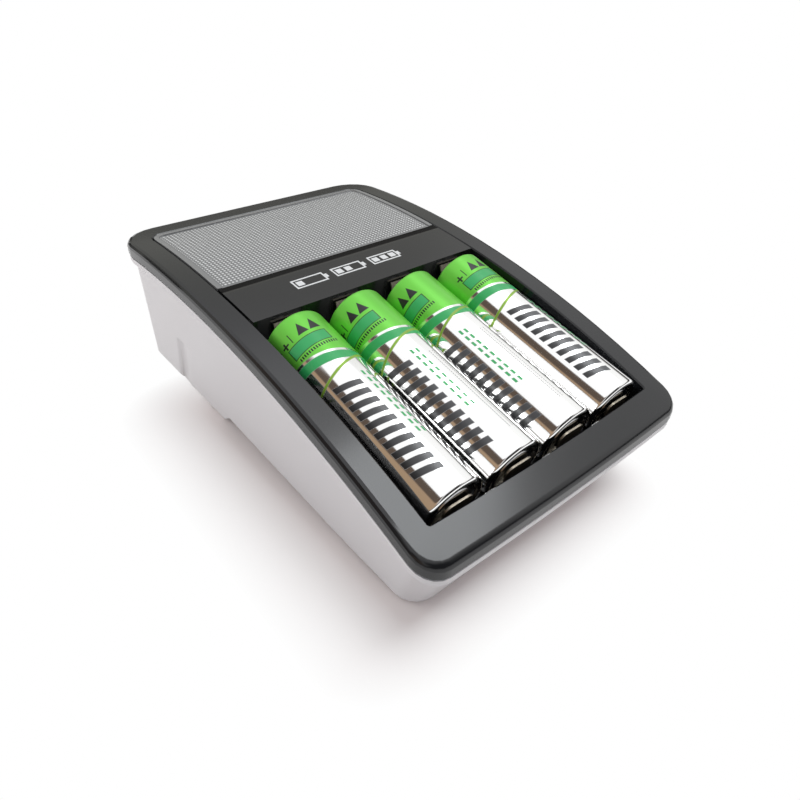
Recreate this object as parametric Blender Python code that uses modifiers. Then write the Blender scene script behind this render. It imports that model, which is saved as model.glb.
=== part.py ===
"""Four-cell battery charger: crowned cover, drafted housing, moulded cell tray and fold-out mains prongs.

X runs across the charger, Y from the low front edge to the tall rear end and Z up from the table.
The origin is on the table, midway along and across the cover. Lengths are in metres.
"""

import math

import bmesh
import bpy
from mathutils import Matrix

# Clearances
SEAT_GAP = 0.0003
RUNNING_GAP = 0.0001

# Cover
COVER_WIDTH = 0.0737
COVER_LENGTH = 0.11563
COVER_FRONT_RADIUS = 0.0050
COVER_REAR_RADIUS = 0.0091
COVER_FRONT_BOW = 0.00056
COVER_EDGE_RADIUS = 0.0012
COVER_WALL = 0.0020
RIM_HEIGHT = 0.0033
RIM_WIDTH = 0.0030
SIDE_RAIL = 0.00575
FRONT_RAIL = 0.0072
REAR_RAIL = 0.0066
OPENING_FRONT_RADIUS = 0.0004
OPENING_REAR_RADIUS = 0.0030
OPENING_EDGE = 0.0003

# Crown of the cover, an arc in side view from the front edge over its highest point to the rear
CROWN_FRONT_Z = 0.01885
CROWN_APEX_Z = 0.0355
CROWN_APEX_TO_REAR = 0.0255

# Panel behind the cells
STRIP_LENGTH = 0.0145
PANEL_BORDER = 0.0011
PANEL_RECESS = 0.0002

# Housing
BODY_OVERHANG_SIDE = 0.0034
BODY_OVERHANG_FRONT = 0.00704
BODY_OVERHANG_REAR = 0.0015
BODY_FRONT_RADIUS = 0.0050
BODY_REAR_RADIUS = 0.0018
BODY_REAR_TOP_RADIUS = 0.0065
BODY_WALL = 0.0016
BODY_FLOOR = 0.0018
BODY_EDGE_RADIUS = 0.0012
SIDE_DRAFT = math.radians(3.2)
FRONT_DRAFT = math.radians(17.0)
REAR_DRAFT = math.radians(0.3)
UNDERSIDE_RISE = 0.0032
BLOCK_TO_BARREL = 0.0077
BLOCK_STEP_LENGTH = 0.0045
FLANGE_HEIGHT = 0.0012
FLANGE_FILLET = 0.0012
FLANGE_SETBACK = 0.00015
FLANGE_FOOT = 0.0019
LIP_WALL = 0.0010

# Finger grip in each side of the housing
GRIP_TO_REAR = 0.0143
GRIP_LENGTH = 0.0085
GRIP_RISER = 0.0014
GRIP_LEAN = 0.0053
GRIP_HEIGHT = 0.0148
GRIP_DEPTH = 0.0007

# Cells
CELL_COUNT = 4
CELL_SIDE_GAP = 0.00016
CELL_SPACING = 0.00117
CELL_CAN_LENGTH = 0.0496
CELL_TILT = 0.208
CELL_FRONT_GAP = 0.0020
CELL_REAR_GAP = 0.0017
CELL_SINK = 0.00041
CELL_EDGE_RADIUS = 0.0006
CELL_CRIMP_WIDTH = 0.0018
CELL_NUB_RADIUS = 0.00275
CELL_NUB_HEIGHT = 0.0009

# Tray
TRAY_WALL = 0.0012
TRAY_FLANGE = 0.0016
TROUGH_GAP = 0.0003
DIVIDER_DROP = 0.0030
SMALL_CELL_MARGIN = 0.0017
SMALL_CELL_DROP = 0.0040

# Contacts
CONTACT_SHEET = 0.0004
CONTACT_MARGIN = 0.00195
CONTACT_STEP = 0.0030
LEAF_NOSE_RISE = 0.0011
LEAF_LEAD_IN = 0.0019
LEAF_BACK_DROP = 0.0032
LEAF_BACK_GAP = 0.0011
LEAF_SHELF_GAP = 0.0012
LEAF_KNEE = 0.0005
BULGE_HEIGHT = 0.0021
BULGE_LOWER_LEG = 0.0039
BULGE_UPPER_LEG = 0.0034

# Prongs and their swivel barrel
PRONG_WIDTH = 0.00635
PRONG_THICKNESS = 0.0015
PRONG_SPACING = 0.0127
PRONG_REACH = 0.0175
PRONG_ROOT = 0.0025
PRONG_CHAMFER = 0.0016
PRONG_HOLE_RADIUS = 0.0016
PRONG_HOLE_TO_TIP = 0.0040
PRONG_TO_REAR = 0.0081
BARREL_RADIUS = 0.0042
BARREL_LENGTH = 0.0195
STUB_RADIUS = 0.0016
STUB_LENGTH = 0.0014
POCKET_WALL = 0.0016
SLOT_MARGIN = 0.0009
FINGER_WELL_LENGTH = 0.0080
FINGER_WELL_DEPTH = 0.0060
FINGER_WELL_MARGIN = 0.0033
MAINS_CONTACT_WIDTH = 0.0038
MAINS_CONTACT_TOE = 0.0015
MAINS_SLIT_LENGTH = 0.0042

# Board and what stands on it; shares are parts of the board's width or length
BOARD_SIDE_MARGIN = 0.01105
BOARD_FRONT_MARGIN = 0.0030
BOARD_REAR_MARGIN = 0.0063
BOARD_THICKNESS = 0.0016
BOARD_HEIGHT = 0.0132
POST_RADIUS = 0.0025
POST_SIDE_MARGIN = 0.0034
POST_END_MARGIN = 0.0043
CORE_WIDTH_SHARE = 0.38
CORE_LENGTH_SHARE = 0.29
CORE_HEIGHT = 0.0130
WINDING_RADIUS_SHARE = 0.45
WINDING_MARGIN = 0.0026
CAPACITOR_LENGTH_SHARE = 0.36
CAPACITOR_MARGIN = 0.0030
CAPACITOR_GAP = 0.0009
OUTPUT_CAPACITOR_SHARE = 0.8
OUTPUT_CAPACITOR_HEIGHT = 0.0110
CHIP_WIDTH_SHARE = 0.14
CHIP_LENGTH_SHARE = 0.22
CHIP_HEIGHT = 0.0020
LED_PLACE_SHARE = 0.71
LED_RADIUS = 0.0025
LED_HEIGHT = 0.0070
GUIDE_RADIUS = 0.0020

# Screws
SCREW_RADIUS = 0.0013
SCREW_TIP_RADIUS = 0.0005
SCREW_HEAD_RADIUS = 0.0026
SCREW_HEAD_CROWN_RADIUS = 0.0018
SCREW_HEAD_HEIGHT = 0.0017
SCREW_HEAD_EDGE = 0.0010
SCREW_LENGTH = 0.0100
FRONT_SCREW_TO_CELL_END = 0.0106
REAR_SCREW_TO_SIDE = 0.00625
REAR_SCREW_TO_REAR = 0.0108
TOWER_WALL = 0.0014
REAR_SEAT_HEIGHT = 0.0140
BOARD_SCREW_LENGTH = 0.0060

# Cover and crown
HALF_WIDTH = COVER_WIDTH / 2
HALF_LENGTH = COVER_LENGTH / 2
OPENING_HALF = HALF_WIDTH - SIDE_RAIL
OPENING_FRONT = FRONT_RAIL - HALF_LENGTH
OPENING_REAR = HALF_LENGTH - REAR_RAIL
CROWN_APEX_Y = HALF_LENGTH - CROWN_APEX_TO_REAR
CROWN_DROP = CROWN_APEX_Z - CROWN_FRONT_Z
CROWN_RADIUS = (CROWN_DROP ** 2 + (HALF_LENGTH + CROWN_APEX_Y) ** 2) / (2 * CROWN_DROP)
ARC_STEPS = 20

# Cells and bay
CELL_PITCH = 2 * (OPENING_HALF - CELL_SIDE_GAP) / CELL_COUNT
CELL_RADIUS = (CELL_PITCH - CELL_SPACING) / 2
CELL_FRONT_Y = OPENING_FRONT + CELL_FRONT_GAP
CELL_FRONT_Z = CROWN_FRONT_Z - CELL_SINK
AXIS_SLOPE = math.tan(CELL_TILT)
BAY_REAR = CELL_FRONT_Y + (CELL_CAN_LENGTH + CELL_NUB_HEIGHT) * math.cos(CELL_TILT) + CELL_REAR_GAP
PANEL_FRONT = BAY_REAR + STRIP_LENGTH
TROUGH_RADIUS = CELL_RADIUS + TROUGH_GAP
SMALL_CELL_RADIUS = CELL_RADIUS - SMALL_CELL_MARGIN
GROOVE_DEPTH = TROUGH_RADIUS + SMALL_CELL_DROP
CONTACT_WIDTH = 2 * (SMALL_CELL_RADIUS - CONTACT_MARGIN)

# Housing, its flange and the lip that stands inside the cover's rim
BODY_HALF = HALF_WIDTH - BODY_OVERHANG_SIDE
BODY_FRONT = BODY_OVERHANG_FRONT - HALF_LENGTH
BODY_REAR = HALF_LENGTH - BODY_OVERHANG_REAR
BODY_TOP = CROWN_APEX_Z
FLANGE_DROP = RIM_HEIGHT + SEAT_GAP
LIP_INSET = RIM_WIDTH + SEAT_GAP
LIP_DROP = COVER_WALL + SEAT_GAP
TRAY_INSET = LIP_INSET + LIP_WALL + SEAT_GAP
TOWER_RADIUS = SCREW_HEAD_RADIUS + SEAT_GAP + TOWER_WALL

# Prongs
BARREL_Y = BODY_REAR - PRONG_TO_REAR - PRONG_REACH - BARREL_RADIUS
BARREL_Z = BARREL_RADIUS + SEAT_GAP
POCKET_TOP = BARREL_Z + BARREL_RADIUS + SEAT_GAP
PRONG_END_Y = BARREL_Y + BARREL_RADIUS + PRONG_REACH
SLOT_END_Y = PRONG_END_Y + SLOT_MARGIN
BLOCK_FRONT = BARREL_Y - BLOCK_TO_BARREL
UNDERSIDE_RAMP_END = BLOCK_FRONT - BLOCK_STEP_LENGTH
GRIP_REAR = BODY_REAR - GRIP_TO_REAR

# Board
BOARD_TOP = BOARD_HEIGHT + BOARD_THICKNESS
BOARD_HALF = BODY_HALF - BOARD_SIDE_MARGIN
BOARD_FRONT = BAY_REAR + BOARD_FRONT_MARGIN
BOARD_REAR = BODY_REAR - BOARD_REAR_MARGIN
BOARD_LENGTH = BOARD_REAR - BOARD_FRONT
POST_X = BOARD_HALF - POST_SIDE_MARGIN
POST_FRONT_Y = BOARD_FRONT + POST_END_MARGIN
POST_REAR_Y = BOARD_REAR - POST_END_MARGIN
CORE_WIDTH = 2 * BOARD_HALF * CORE_WIDTH_SHARE
CORE_LENGTH = BOARD_LENGTH * CORE_LENGTH_SHARE
CORE_Y = BOARD_REAR - CORE_LENGTH
CAPACITOR_RADIUS = (BOARD_HALF - CORE_WIDTH / 2 - CAPACITOR_GAP - CAPACITOR_MARGIN) / 2
CAPACITOR_LENGTH = BOARD_LENGTH * CAPACITOR_LENGTH_SHARE
CHIP_WIDTH = 2 * BOARD_HALF * CHIP_WIDTH_SHARE
CHIP_LENGTH = BOARD_LENGTH * CHIP_LENGTH_SHARE
WINDING_RADIUS = CORE_WIDTH * WINDING_RADIUS_SHARE
LED_Y = BOARD_FRONT + (CORE_Y - WINDING_RADIUS - BOARD_FRONT) * LED_PLACE_SHARE

# Screws
FRONT_SCREW_X = CELL_PITCH
FRONT_SCREW_Y = CELL_FRONT_Y + FRONT_SCREW_TO_CELL_END
REAR_SCREW_X = BODY_HALF - REAR_SCREW_TO_SIDE
REAR_SCREW_Y = BODY_REAR - REAR_SCREW_TO_REAR

SIDE_VIEW = Matrix(((0, 0, 1, 0), (1, 0, 0, 0), (0, 1, 0, 0), (0, 0, 0, 1)))


def crown(y):
    """Height of the cover's outer surface at a distance along the charger."""
    return CROWN_APEX_Z - CROWN_RADIUS + math.sqrt(CROWN_RADIUS ** 2 - (y - CROWN_APEX_Y) ** 2)


def cell_axis(y):
    """Height of the cells' axis at a distance along the charger."""
    return CELL_FRONT_Z + (y - CELL_FRONT_Y) * AXIS_SLOPE


def cell_x(index):
    """Sideways place of one channel, counted from the left."""
    return (index - (CELL_COUNT - 1) / 2) * CELL_PITCH


def front_wall(z):
    """Outer face of the housing's leaning front wall at a height."""
    return BODY_FRONT - z * math.tan(FRONT_DRAFT)


def new_object(name, mesh, folder):
    """Links a mesh to the scene as an object in a collection."""
    thing = bpy.data.objects.new(name, mesh)
    folder.objects.link(thing)
    return thing


def evaluated_mesh(thing):
    """Mesh of an object with its modifiers and curve shape worked out."""
    bpy.context.view_layer.update()
    graph = bpy.context.evaluated_depsgraph_get()
    return bpy.data.meshes.new_from_object(thing.evaluated_get(graph))


def paint(thing, colour, roughness, metallic):
    """Gives a piece its own Principled material."""
    material = bpy.data.materials.new(thing.name)
    material.use_nodes = True
    shader = material.node_tree.nodes["Principled BSDF"]
    shader.inputs["Base Color"].default_value = (*colour, 1.0)
    shader.inputs["Roughness"].default_value = roughness
    shader.inputs["Metallic"].default_value = metallic
    thing.data.materials.clear()
    thing.data.materials.append(material)
    thing.data.shade_smooth()
    thing.data.set_sharp_from_angle(angle=math.radians(32))
    return thing


def plan_loop(half_width, front, rear, front_radius, rear_radius, bow=0.0, side_steps=1, end_steps=1,
              corner_steps=5):
    """Rounded rectangle seen from above, anticlockwise; its front edge may bow outwards."""
    corners = (
        (half_width - front_radius, front + front_radius, front_radius, -90),
        (half_width - rear_radius, rear - rear_radius, rear_radius, 0),
        (-half_width + rear_radius, rear - rear_radius, rear_radius, 90),
        (-half_width + front_radius, front + front_radius, front_radius, 180),
    )
    arcs = []
    for x, y, radius, start in corners:
        arc = []
        for step in range(corner_steps + 1):
            turn = math.radians(start + 90 * step / corner_steps)
            arc.append((x + radius * math.cos(turn), y + radius * math.sin(turn)))
        arcs.append(arc)
    points = []
    for number, arc in enumerate(arcs):
        points += arc
        following = arcs[(number + 1) % len(arcs)][0]
        steps = side_steps if number in (0, 2) else end_steps
        for step in range(1, steps):
            share = step / steps
            points.append((arc[-1][0] + (following[0] - arc[-1][0]) * share,
                           arc[-1][1] + (following[1] - arc[-1][1]) * share))
    middle = (front + rear) / 2
    return [(x, y - bow * (1 - (x / half_width) ** 2) if y < middle else y) for x, y in points]


def loft(name, loops, folder, ring=False):
    """Closed skin through a stack of loops, capped at both ends, or joined end to end as a ring."""
    shape = bmesh.new()
    rows = [[shape.verts.new(point) for point in loop] for loop in loops]
    pairs = list(zip(rows, rows[1:]))
    if ring:
        pairs.append((rows[-1], rows[0]))
    for low, high in pairs:
        for index in range(len(low)):
            after = (index + 1) % len(low)
            shape.faces.new((low[index], low[after], high[after], high[index]))
    if not ring:
        shape.faces.new(list(reversed(rows[0])))
        shape.faces.new(rows[-1])
    bmesh.ops.recalc_face_normals(shape, faces=shape.faces)
    mesh = bpy.data.meshes.new(name)
    shape.to_mesh(mesh)
    shape.free()
    return new_object(name, mesh, folder)


def plate(name, outlines, thickness, place, folder):
    """Flat piece from closed outlines in its own plane, half its thickness to each side."""
    curve = bpy.data.curves.new(name, "CURVE")
    curve.dimensions = "2D"
    curve.fill_mode = "BOTH"
    curve.extrude = thickness / 2
    for outline in outlines:
        spline = curve.splines.new("POLY")
        spline.points.add(len(outline) - 1)
        for point, (x, y) in zip(spline.points, outline):
            point.co = (x, y, 0.0, 1.0)
        spline.use_cyclic_u = True
    source = new_object(name + "_outline", curve, folder)
    mesh = evaluated_mesh(source)
    bpy.data.objects.remove(source)
    shape = bmesh.new()
    shape.from_mesh(mesh)
    bmesh.ops.remove_doubles(shape, verts=shape.verts, dist=1e-7)
    bmesh.ops.recalc_face_normals(shape, faces=shape.faces)
    shape.to_mesh(mesh)
    shape.free()
    mesh.transform(place)
    return new_object(name, mesh, folder)


def side_plate(name, outline, half_width, folder, x=0.0):
    """Plate whose outline is given as (y, z) in side view, centred on x."""
    return plate(name, [outline], 2 * half_width, Matrix.Translation((x, 0, 0)) @ SIDE_VIEW, folder)


def box(name, low, high, folder):
    """Rectangular block between two corners."""
    shape = bmesh.new()
    size = [b - a for a, b in zip(low, high)]
    middle = [(a + b) / 2 for a, b in zip(low, high)]
    bmesh.ops.create_cube(shape, size=1.0, matrix=Matrix.Translation(middle) @ Matrix.Diagonal((*size, 1.0)))
    mesh = bpy.data.meshes.new(name)
    shape.to_mesh(mesh)
    shape.free()
    return new_object(name, mesh, folder)


def cylinder(name, radius, low, high, centre, folder, axis="Z", sides=20, far_radius=None):
    """Round bar or cone between two places along an axis."""
    shape = bmesh.new()
    bmesh.ops.create_cone(shape, cap_ends=True, segments=sides, radius1=radius,
                          radius2=radius if far_radius is None else far_radius, depth=high - low)
    mesh = bpy.data.meshes.new(name)
    shape.to_mesh(mesh)
    shape.free()
    mid = (low + high) / 2
    if axis == "Z":
        place = Matrix.Translation((centre[0], centre[1], mid))
    elif axis == "X":
        place = Matrix.Translation((mid, centre[0], centre[1])) @ Matrix.Rotation(math.pi / 2, 4, "Y")
    else:
        place = Matrix.Translation((centre[0], mid, centre[1])) @ Matrix.Rotation(-math.pi / 2, 4, "X")
    mesh.transform(place)
    return new_object(name, mesh, folder)


def combine(target, others, operation):
    """Boolean of a piece with each of some solids, which are used up."""
    for other in others:
        modifier = target.modifiers.new(other.name, "BOOLEAN")
        modifier.operation = operation
        modifier.object = other
        mesh = evaluated_mesh(target)
        target.modifiers.clear()
        target.data = mesh
        bpy.data.objects.remove(other)
    return target


def turned(name, profile, sides, folder):
    """Round piece from a profile of (radius, height) that runs from the top down its outer side."""
    mesh = bpy.data.meshes.new(name)
    edges = [(index, index + 1) for index in range(len(profile) - 1)]
    mesh.from_pydata([(radius, 0.0, height) for radius, height in profile], edges, [])
    thing = new_object(name, mesh, folder)
    screw = thing.modifiers.new("turn", "SCREW")
    screw.axis = "Z"
    screw.steps = sides
    screw.render_steps = sides
    screw.use_merge_vertices = True
    screw.merge_threshold = 0.00001
    thing.data = evaluated_mesh(thing)
    thing.modifiers.clear()
    return thing


def crown_band(low, high, front, rear, steps=ARC_STEPS):
    """Side outline between two lines that lie below the crown by given drops."""
    stations = [front + (rear - front) * step / steps for step in range(steps + 1)]
    lower = [(y, crown(y) - low) for y in stations]
    upper = [(y, crown(y) - high) for y in reversed(stations)]
    return lower + upper


def ribbon(path, thickness):
    """Closed outline of a bent strip: its centre line thickened to both sides, with mitred bends."""
    left, right = [], []
    for index, (y, z) in enumerate(path):
        before = path[max(index - 1, 0)]
        after = path[min(index + 1, len(path) - 1)]
        run = math.hypot(y - before[0], z - before[1]) or 1.0
        go = math.hypot(after[0] - y, after[1] - z) or 1.0
        ty = (y - before[0]) / run + (after[0] - y) / go
        tz = (z - before[1]) / run + (after[1] - z) / go
        size = math.hypot(ty, tz)
        ny, nz = -tz / size, ty / size
        ends = index in (0, len(path) - 1)
        reach = thickness / 2 if ends else thickness / 2 / (size / 2)
        left.append((y + ny * reach, z + nz * reach))
        right.append((y - ny * reach, z - nz * reach))
    return left + list(reversed(right))


def body_loop(z, inset):
    """Plan of the housing at a height; its rear corners grow rounder with height."""
    rear_radius = BODY_REAR_RADIUS + (BODY_REAR_TOP_RADIUS - BODY_REAR_RADIUS) * z / BODY_TOP
    return [(x, y, z) for x, y in plan_loop(
        BODY_HALF + z * math.tan(SIDE_DRAFT) - inset,
        front_wall(z) + inset / math.cos(FRONT_DRAFT),
        BODY_REAR + z * math.tan(REAR_DRAFT) - inset,
        BODY_FRONT_RADIUS - inset,
        rear_radius - inset,
    )]


def underside(rise):
    """Side line of the underside from front to rear, lifted by a floor's thickness."""
    slope = UNDERSIDE_RISE / (UNDERSIDE_RAMP_END - BODY_FRONT)
    step = UNDERSIDE_RISE / (BLOCK_FRONT - UNDERSIDE_RAMP_END)
    far = BODY_REAR + BODY_WALL + BODY_FLOOR
    drop = BODY_FLOOR if not rise else 0.0
    return [
        (front_wall(CROWN_APEX_Z) - BODY_WALL,
         rise + (front_wall(CROWN_APEX_Z) - BODY_WALL - BODY_FRONT) * slope),
        (UNDERSIDE_RAMP_END, rise + UNDERSIDE_RISE),
        (BLOCK_FRONT + drop / step, rise - drop),
        (far, rise - drop),
    ]


def make_housing(folder):
    """Light shell: flange and lip, ramped underside, rear block, prong recess, screw towers, board posts."""
    radius = BODY_EDGE_RADIUS
    outer_loops = []
    for turn in (0, 30, 60, 90):
        sweep = math.radians(turn)
        outer_loops.append(body_loop(radius * (1 - math.cos(sweep)), radius * (1 - math.sin(sweep))))
    outer_loops.append(body_loop(BODY_TOP, 0.0))
    housing = loft("lower_housing", outer_loops, folder)
    wall_drop = FLANGE_DROP + FLANGE_HEIGHT / 2
    top = crown_band(wall_drop, wall_drop, front_wall(CROWN_APEX_Z) - BODY_WALL,
                     BODY_REAR + BODY_WALL + BODY_FLOOR)[ARC_STEPS + 1:]
    combine(housing, [side_plate("housing_side", underside(0.0) + top, COVER_WIDTH / 2, folder)], "INTERSECT")
    hollow = loft("hollow", [body_loop(0.0, BODY_WALL), body_loop(BODY_TOP + BODY_WALL, BODY_WALL)], folder)
    above = [(BODY_REAR + BODY_WALL + BODY_FLOOR, BODY_TOP + BODY_FLOOR),
             (front_wall(CROWN_APEX_Z) - BODY_WALL, BODY_TOP + BODY_FLOOR)]
    combine(hollow, [side_plate("hollow_side", underside(BODY_FLOOR) + above, COVER_WIDTH / 2, folder)],
            "INTERSECT")
    combine(housing, [hollow], "DIFFERENCE")

    pocket_half = BARREL_LENGTH / 2 + SEAT_GAP
    pocket_low = BARREL_Y - BARREL_RADIUS - 2 * SEAT_GAP
    pocket_high = BARREL_Y + BARREL_RADIUS + 2 * SEAT_GAP
    wall_half = pocket_half + STUB_LENGTH + SEAT_GAP + POCKET_WALL
    pieces = [make_flange(folder)]
    pieces.append(box("pocket_block", (-wall_half, pocket_low - POCKET_WALL, BODY_FLOOR / 2),
                      (wall_half, SLOT_END_Y + POCKET_WALL, POCKET_TOP + POCKET_WALL), folder))
    for side in (-1, 1):
        pieces.append(cylinder("front_tower", TOWER_RADIUS, front_floor(), front_boss_top(),
                               (side * FRONT_SCREW_X, FRONT_SCREW_Y), folder))
        pieces.append(cylinder("rear_tower", TOWER_RADIUS, BODY_FLOOR / 2, REAR_SEAT_HEIGHT + TOWER_WALL,
                               (side * REAR_SCREW_X, REAR_SCREW_Y), folder))
        for y in (POST_FRONT_Y, POST_REAR_Y):
            low = BODY_FLOOR / 2 if y > BLOCK_FRONT else UNDERSIDE_RISE + BODY_FLOOR / 2
            pieces.append(cylinder("post", POST_RADIUS, low, BOARD_HEIGHT - SEAT_GAP, (side * POST_X, y),
                                   folder))
    combine(housing, pieces, "UNION")

    cuts = [box("barrel_pocket", (-pocket_half, pocket_low, -BODY_FLOOR),
                (pocket_half, pocket_high, POCKET_TOP), folder)]
    cuts.append(cylinder("stub_bore", STUB_RADIUS + RUNNING_GAP, -pocket_half - STUB_LENGTH - SEAT_GAP,
                         pocket_half + STUB_LENGTH + SEAT_GAP, (BARREL_Y, BARREL_Z), folder, "X", 24))
    for side in (-1, 1):
        x = side * PRONG_SPACING / 2
        half = PRONG_THICKNESS / 2 + SLOT_MARGIN
        cuts.append(box("prong_slot", (x - half, BARREL_Y, -BODY_FLOOR),
                        (x + half, SLOT_END_Y, BARREL_Z + PRONG_WIDTH / 2 + 2 * SEAT_GAP), folder))
        half = MAINS_CONTACT_WIDTH / 2 + SEAT_GAP
        cuts.append(box("contact_slit", (x - half, BARREL_Y - MAINS_SLIT_LENGTH / 2, BARREL_Z),
                        (x + half, BARREL_Y + MAINS_SLIT_LENGTH / 2, POCKET_TOP + 2 * POCKET_WALL), folder))
        cuts.append(cylinder("front_head_bore", SCREW_HEAD_RADIUS + SEAT_GAP, -BODY_FLOOR,
                             front_boss_top() - TOWER_WALL, (side * FRONT_SCREW_X, FRONT_SCREW_Y), folder))
        cuts.append(cylinder("front_shank_bore", SCREW_RADIUS + SEAT_GAP, 0.0, 2 * front_boss_top(),
                             (side * FRONT_SCREW_X, FRONT_SCREW_Y), folder, sides=16))
        cuts.append(cylinder("rear_head_bore", SCREW_HEAD_RADIUS + SEAT_GAP, -BODY_FLOOR, REAR_SEAT_HEIGHT,
                             (side * REAR_SCREW_X, REAR_SCREW_Y), folder))
        cuts.append(cylinder("rear_shank_bore", SCREW_RADIUS + SEAT_GAP, 0.0,
                             REAR_SEAT_HEIGHT + 2 * TOWER_WALL, (side * REAR_SCREW_X, REAR_SCREW_Y), folder,
                             sides=16))
        cuts.append(cylinder("board_screw_bore", SCREW_RADIUS + SEAT_GAP, BOARD_HEIGHT - BOARD_SCREW_LENGTH,
                             BOARD_HEIGHT + BODY_FLOOR, (side * POST_X, POST_FRONT_Y), folder, sides=16))
        cuts.append(grip_cutter(side, folder))
    well_half = PRONG_SPACING / 2 + FINGER_WELL_MARGIN
    cuts.append(box("finger_well", (-well_half, PRONG_END_Y - FINGER_WELL_LENGTH, -BODY_FLOOR),
                    (well_half, SLOT_END_Y, FINGER_WELL_DEPTH), folder))
    combine(housing, cuts, "DIFFERENCE")
    return paint(housing, (0.62, 0.61, 0.62), 0.42, 0.0)


def make_flange(folder):
    """Ring round the housing's top: an outer flange under the cover's rim and a lip inside that rim."""
    foot_drop = FLANGE_DROP + FLANGE_HEIGHT + FLANGE_FILLET
    inner = LIP_INSET + LIP_WALL
    rings = ((FLANGE_SETBACK, FLANGE_DROP), (FLANGE_SETBACK, FLANGE_DROP + FLANGE_HEIGHT),
             (FLANGE_FOOT, foot_drop), (inner, foot_drop), (inner, LIP_DROP), (LIP_INSET, LIP_DROP),
             (LIP_INSET, FLANGE_DROP))
    return loft("flange", [cover_loop(inset, drop) for inset, drop in rings], folder, ring=True)


def front_floor():
    """Height inside the front floor where the front screw towers start."""
    slope = UNDERSIDE_RISE / (UNDERSIDE_RAMP_END - BODY_FRONT)
    return (FRONT_SCREW_Y - BODY_FRONT) * slope + BODY_FLOOR / 2


def tray_bottom(y):
    """Outer underside of the tray beneath the channels."""
    return cell_axis(y) - (GROOVE_DEPTH + TRAY_WALL) / math.cos(CELL_TILT)


def front_boss_top():
    """Top of the front screw towers, just under the tray."""
    return tray_bottom(FRONT_SCREW_Y - TOWER_RADIUS) - SEAT_GAP


def grip_cutter(side, folder):
    """Scoop in one side wall, with a short riser at its rear and a long run-out forwards."""
    levels = []
    for z in (-BODY_FLOOR, GRIP_HEIGHT):
        face = BODY_HALF + z * math.tan(SIDE_DRAFT)
        rear = GRIP_REAR - GRIP_LEAN * z / GRIP_HEIGHT
        plan = [(face + GRIP_DEPTH, rear - GRIP_LENGTH), (face + RUNNING_GAP, rear - GRIP_LENGTH)]
        for share, depth in ((0.5, 0.6), (0.25, 0.9), (0.0, 1.0)):
            y = rear - GRIP_RISER - (GRIP_LENGTH - GRIP_RISER) * share
            plan.append((face - GRIP_DEPTH * depth, y))
        plan += [(face + RUNNING_GAP, rear), (face + GRIP_DEPTH, rear)]
        levels.append([(side * x, y, z) for x, y in plan])
    return loft("grip", levels, folder)


def cover_loop(inset, drop):
    """Outline of the cover brought in by an inset and set below the crown by a drop."""
    points = plan_loop(HALF_WIDTH - inset, -HALF_LENGTH + COVER_FRONT_BOW + inset, HALF_LENGTH - inset,
                       max(COVER_FRONT_RADIUS - inset, COVER_EDGE_RADIUS),
                       max(COVER_REAR_RADIUS - inset, COVER_EDGE_RADIUS),
                       COVER_FRONT_BOW, 16, 8, 5)
    return [(x, y, crown(y) - drop) for x, y in points]


def opening_loop(outset, drop):
    """Outline of the cover's opening, widened by an outset and set below the crown by a drop."""
    points = plan_loop(OPENING_HALF + outset, OPENING_FRONT - outset, OPENING_REAR + outset,
                       OPENING_FRONT_RADIUS + outset, OPENING_REAR_RADIUS + outset,
                       COVER_FRONT_BOW, 16, 8, 5)
    return [(x, y, crown(y) - drop) for x, y in points]


def make_cover(folder):
    """Black crowned frame with a rounded edge, a deep rim and one opening for cells and panel."""
    radius = COVER_EDGE_RADIUS
    loops = [cover_loop(RIM_WIDTH, RIM_HEIGHT), cover_loop(OPENING_EDGE, RIM_HEIGHT),
             cover_loop(0.0, RIM_HEIGHT - OPENING_EDGE)]
    for turn in (0, 30, 60, 90):
        sweep = math.radians(turn)
        loops.append(cover_loop(radius * (1 - math.cos(sweep)), radius * (1 - math.sin(sweep))))
    loops += [opening_loop(OPENING_EDGE, 0.0), opening_loop(0.0, OPENING_EDGE),
              opening_loop(0.0, COVER_WALL), cover_loop(RIM_WIDTH, COVER_WALL)]
    return paint(loft("top_bezel", loops, folder, ring=True), (0.035, 0.036, 0.040), 0.22, 0.0)


def channel_outline():
    """Cross-section of the bay: round troughs, each with a narrower groove for small cells below it."""
    shelf = -DIVIDER_DROP
    shelf_x = math.sqrt(TROUGH_RADIUS ** 2 - shelf ** 2)
    groove_edge = -math.sqrt(TROUGH_RADIUS ** 2 - SMALL_CELL_RADIUS ** 2)
    groove_middle = SMALL_CELL_RADIUS - GROOVE_DEPTH
    points = [(-OPENING_HALF, 2 * COVER_WIDTH), (-OPENING_HALF, shelf)]
    for number in range(CELL_COUNT):
        x = cell_x(number)
        start = math.atan2(shelf, -shelf_x)
        stop = math.atan2(groove_edge, -SMALL_CELL_RADIUS)
        left = []
        for step in range(4):
            turn = start + (stop - start) * step / 3
            left.append((TROUGH_RADIUS * math.cos(turn), TROUGH_RADIUS * math.sin(turn)))
        groove = []
        for step in range(9):
            turn = math.pi + math.pi * step / 8
            groove.append((SMALL_CELL_RADIUS * math.cos(turn),
                           groove_middle + SMALL_CELL_RADIUS * math.sin(turn)))
        right = [(-a, b) for a, b in reversed(left)]
        points += [(x + a, b) for a, b in left + groove + right]
    points += [(OPENING_HALF, shelf), (OPENING_HALF, 2 * COVER_WIDTH)]
    return points


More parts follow.
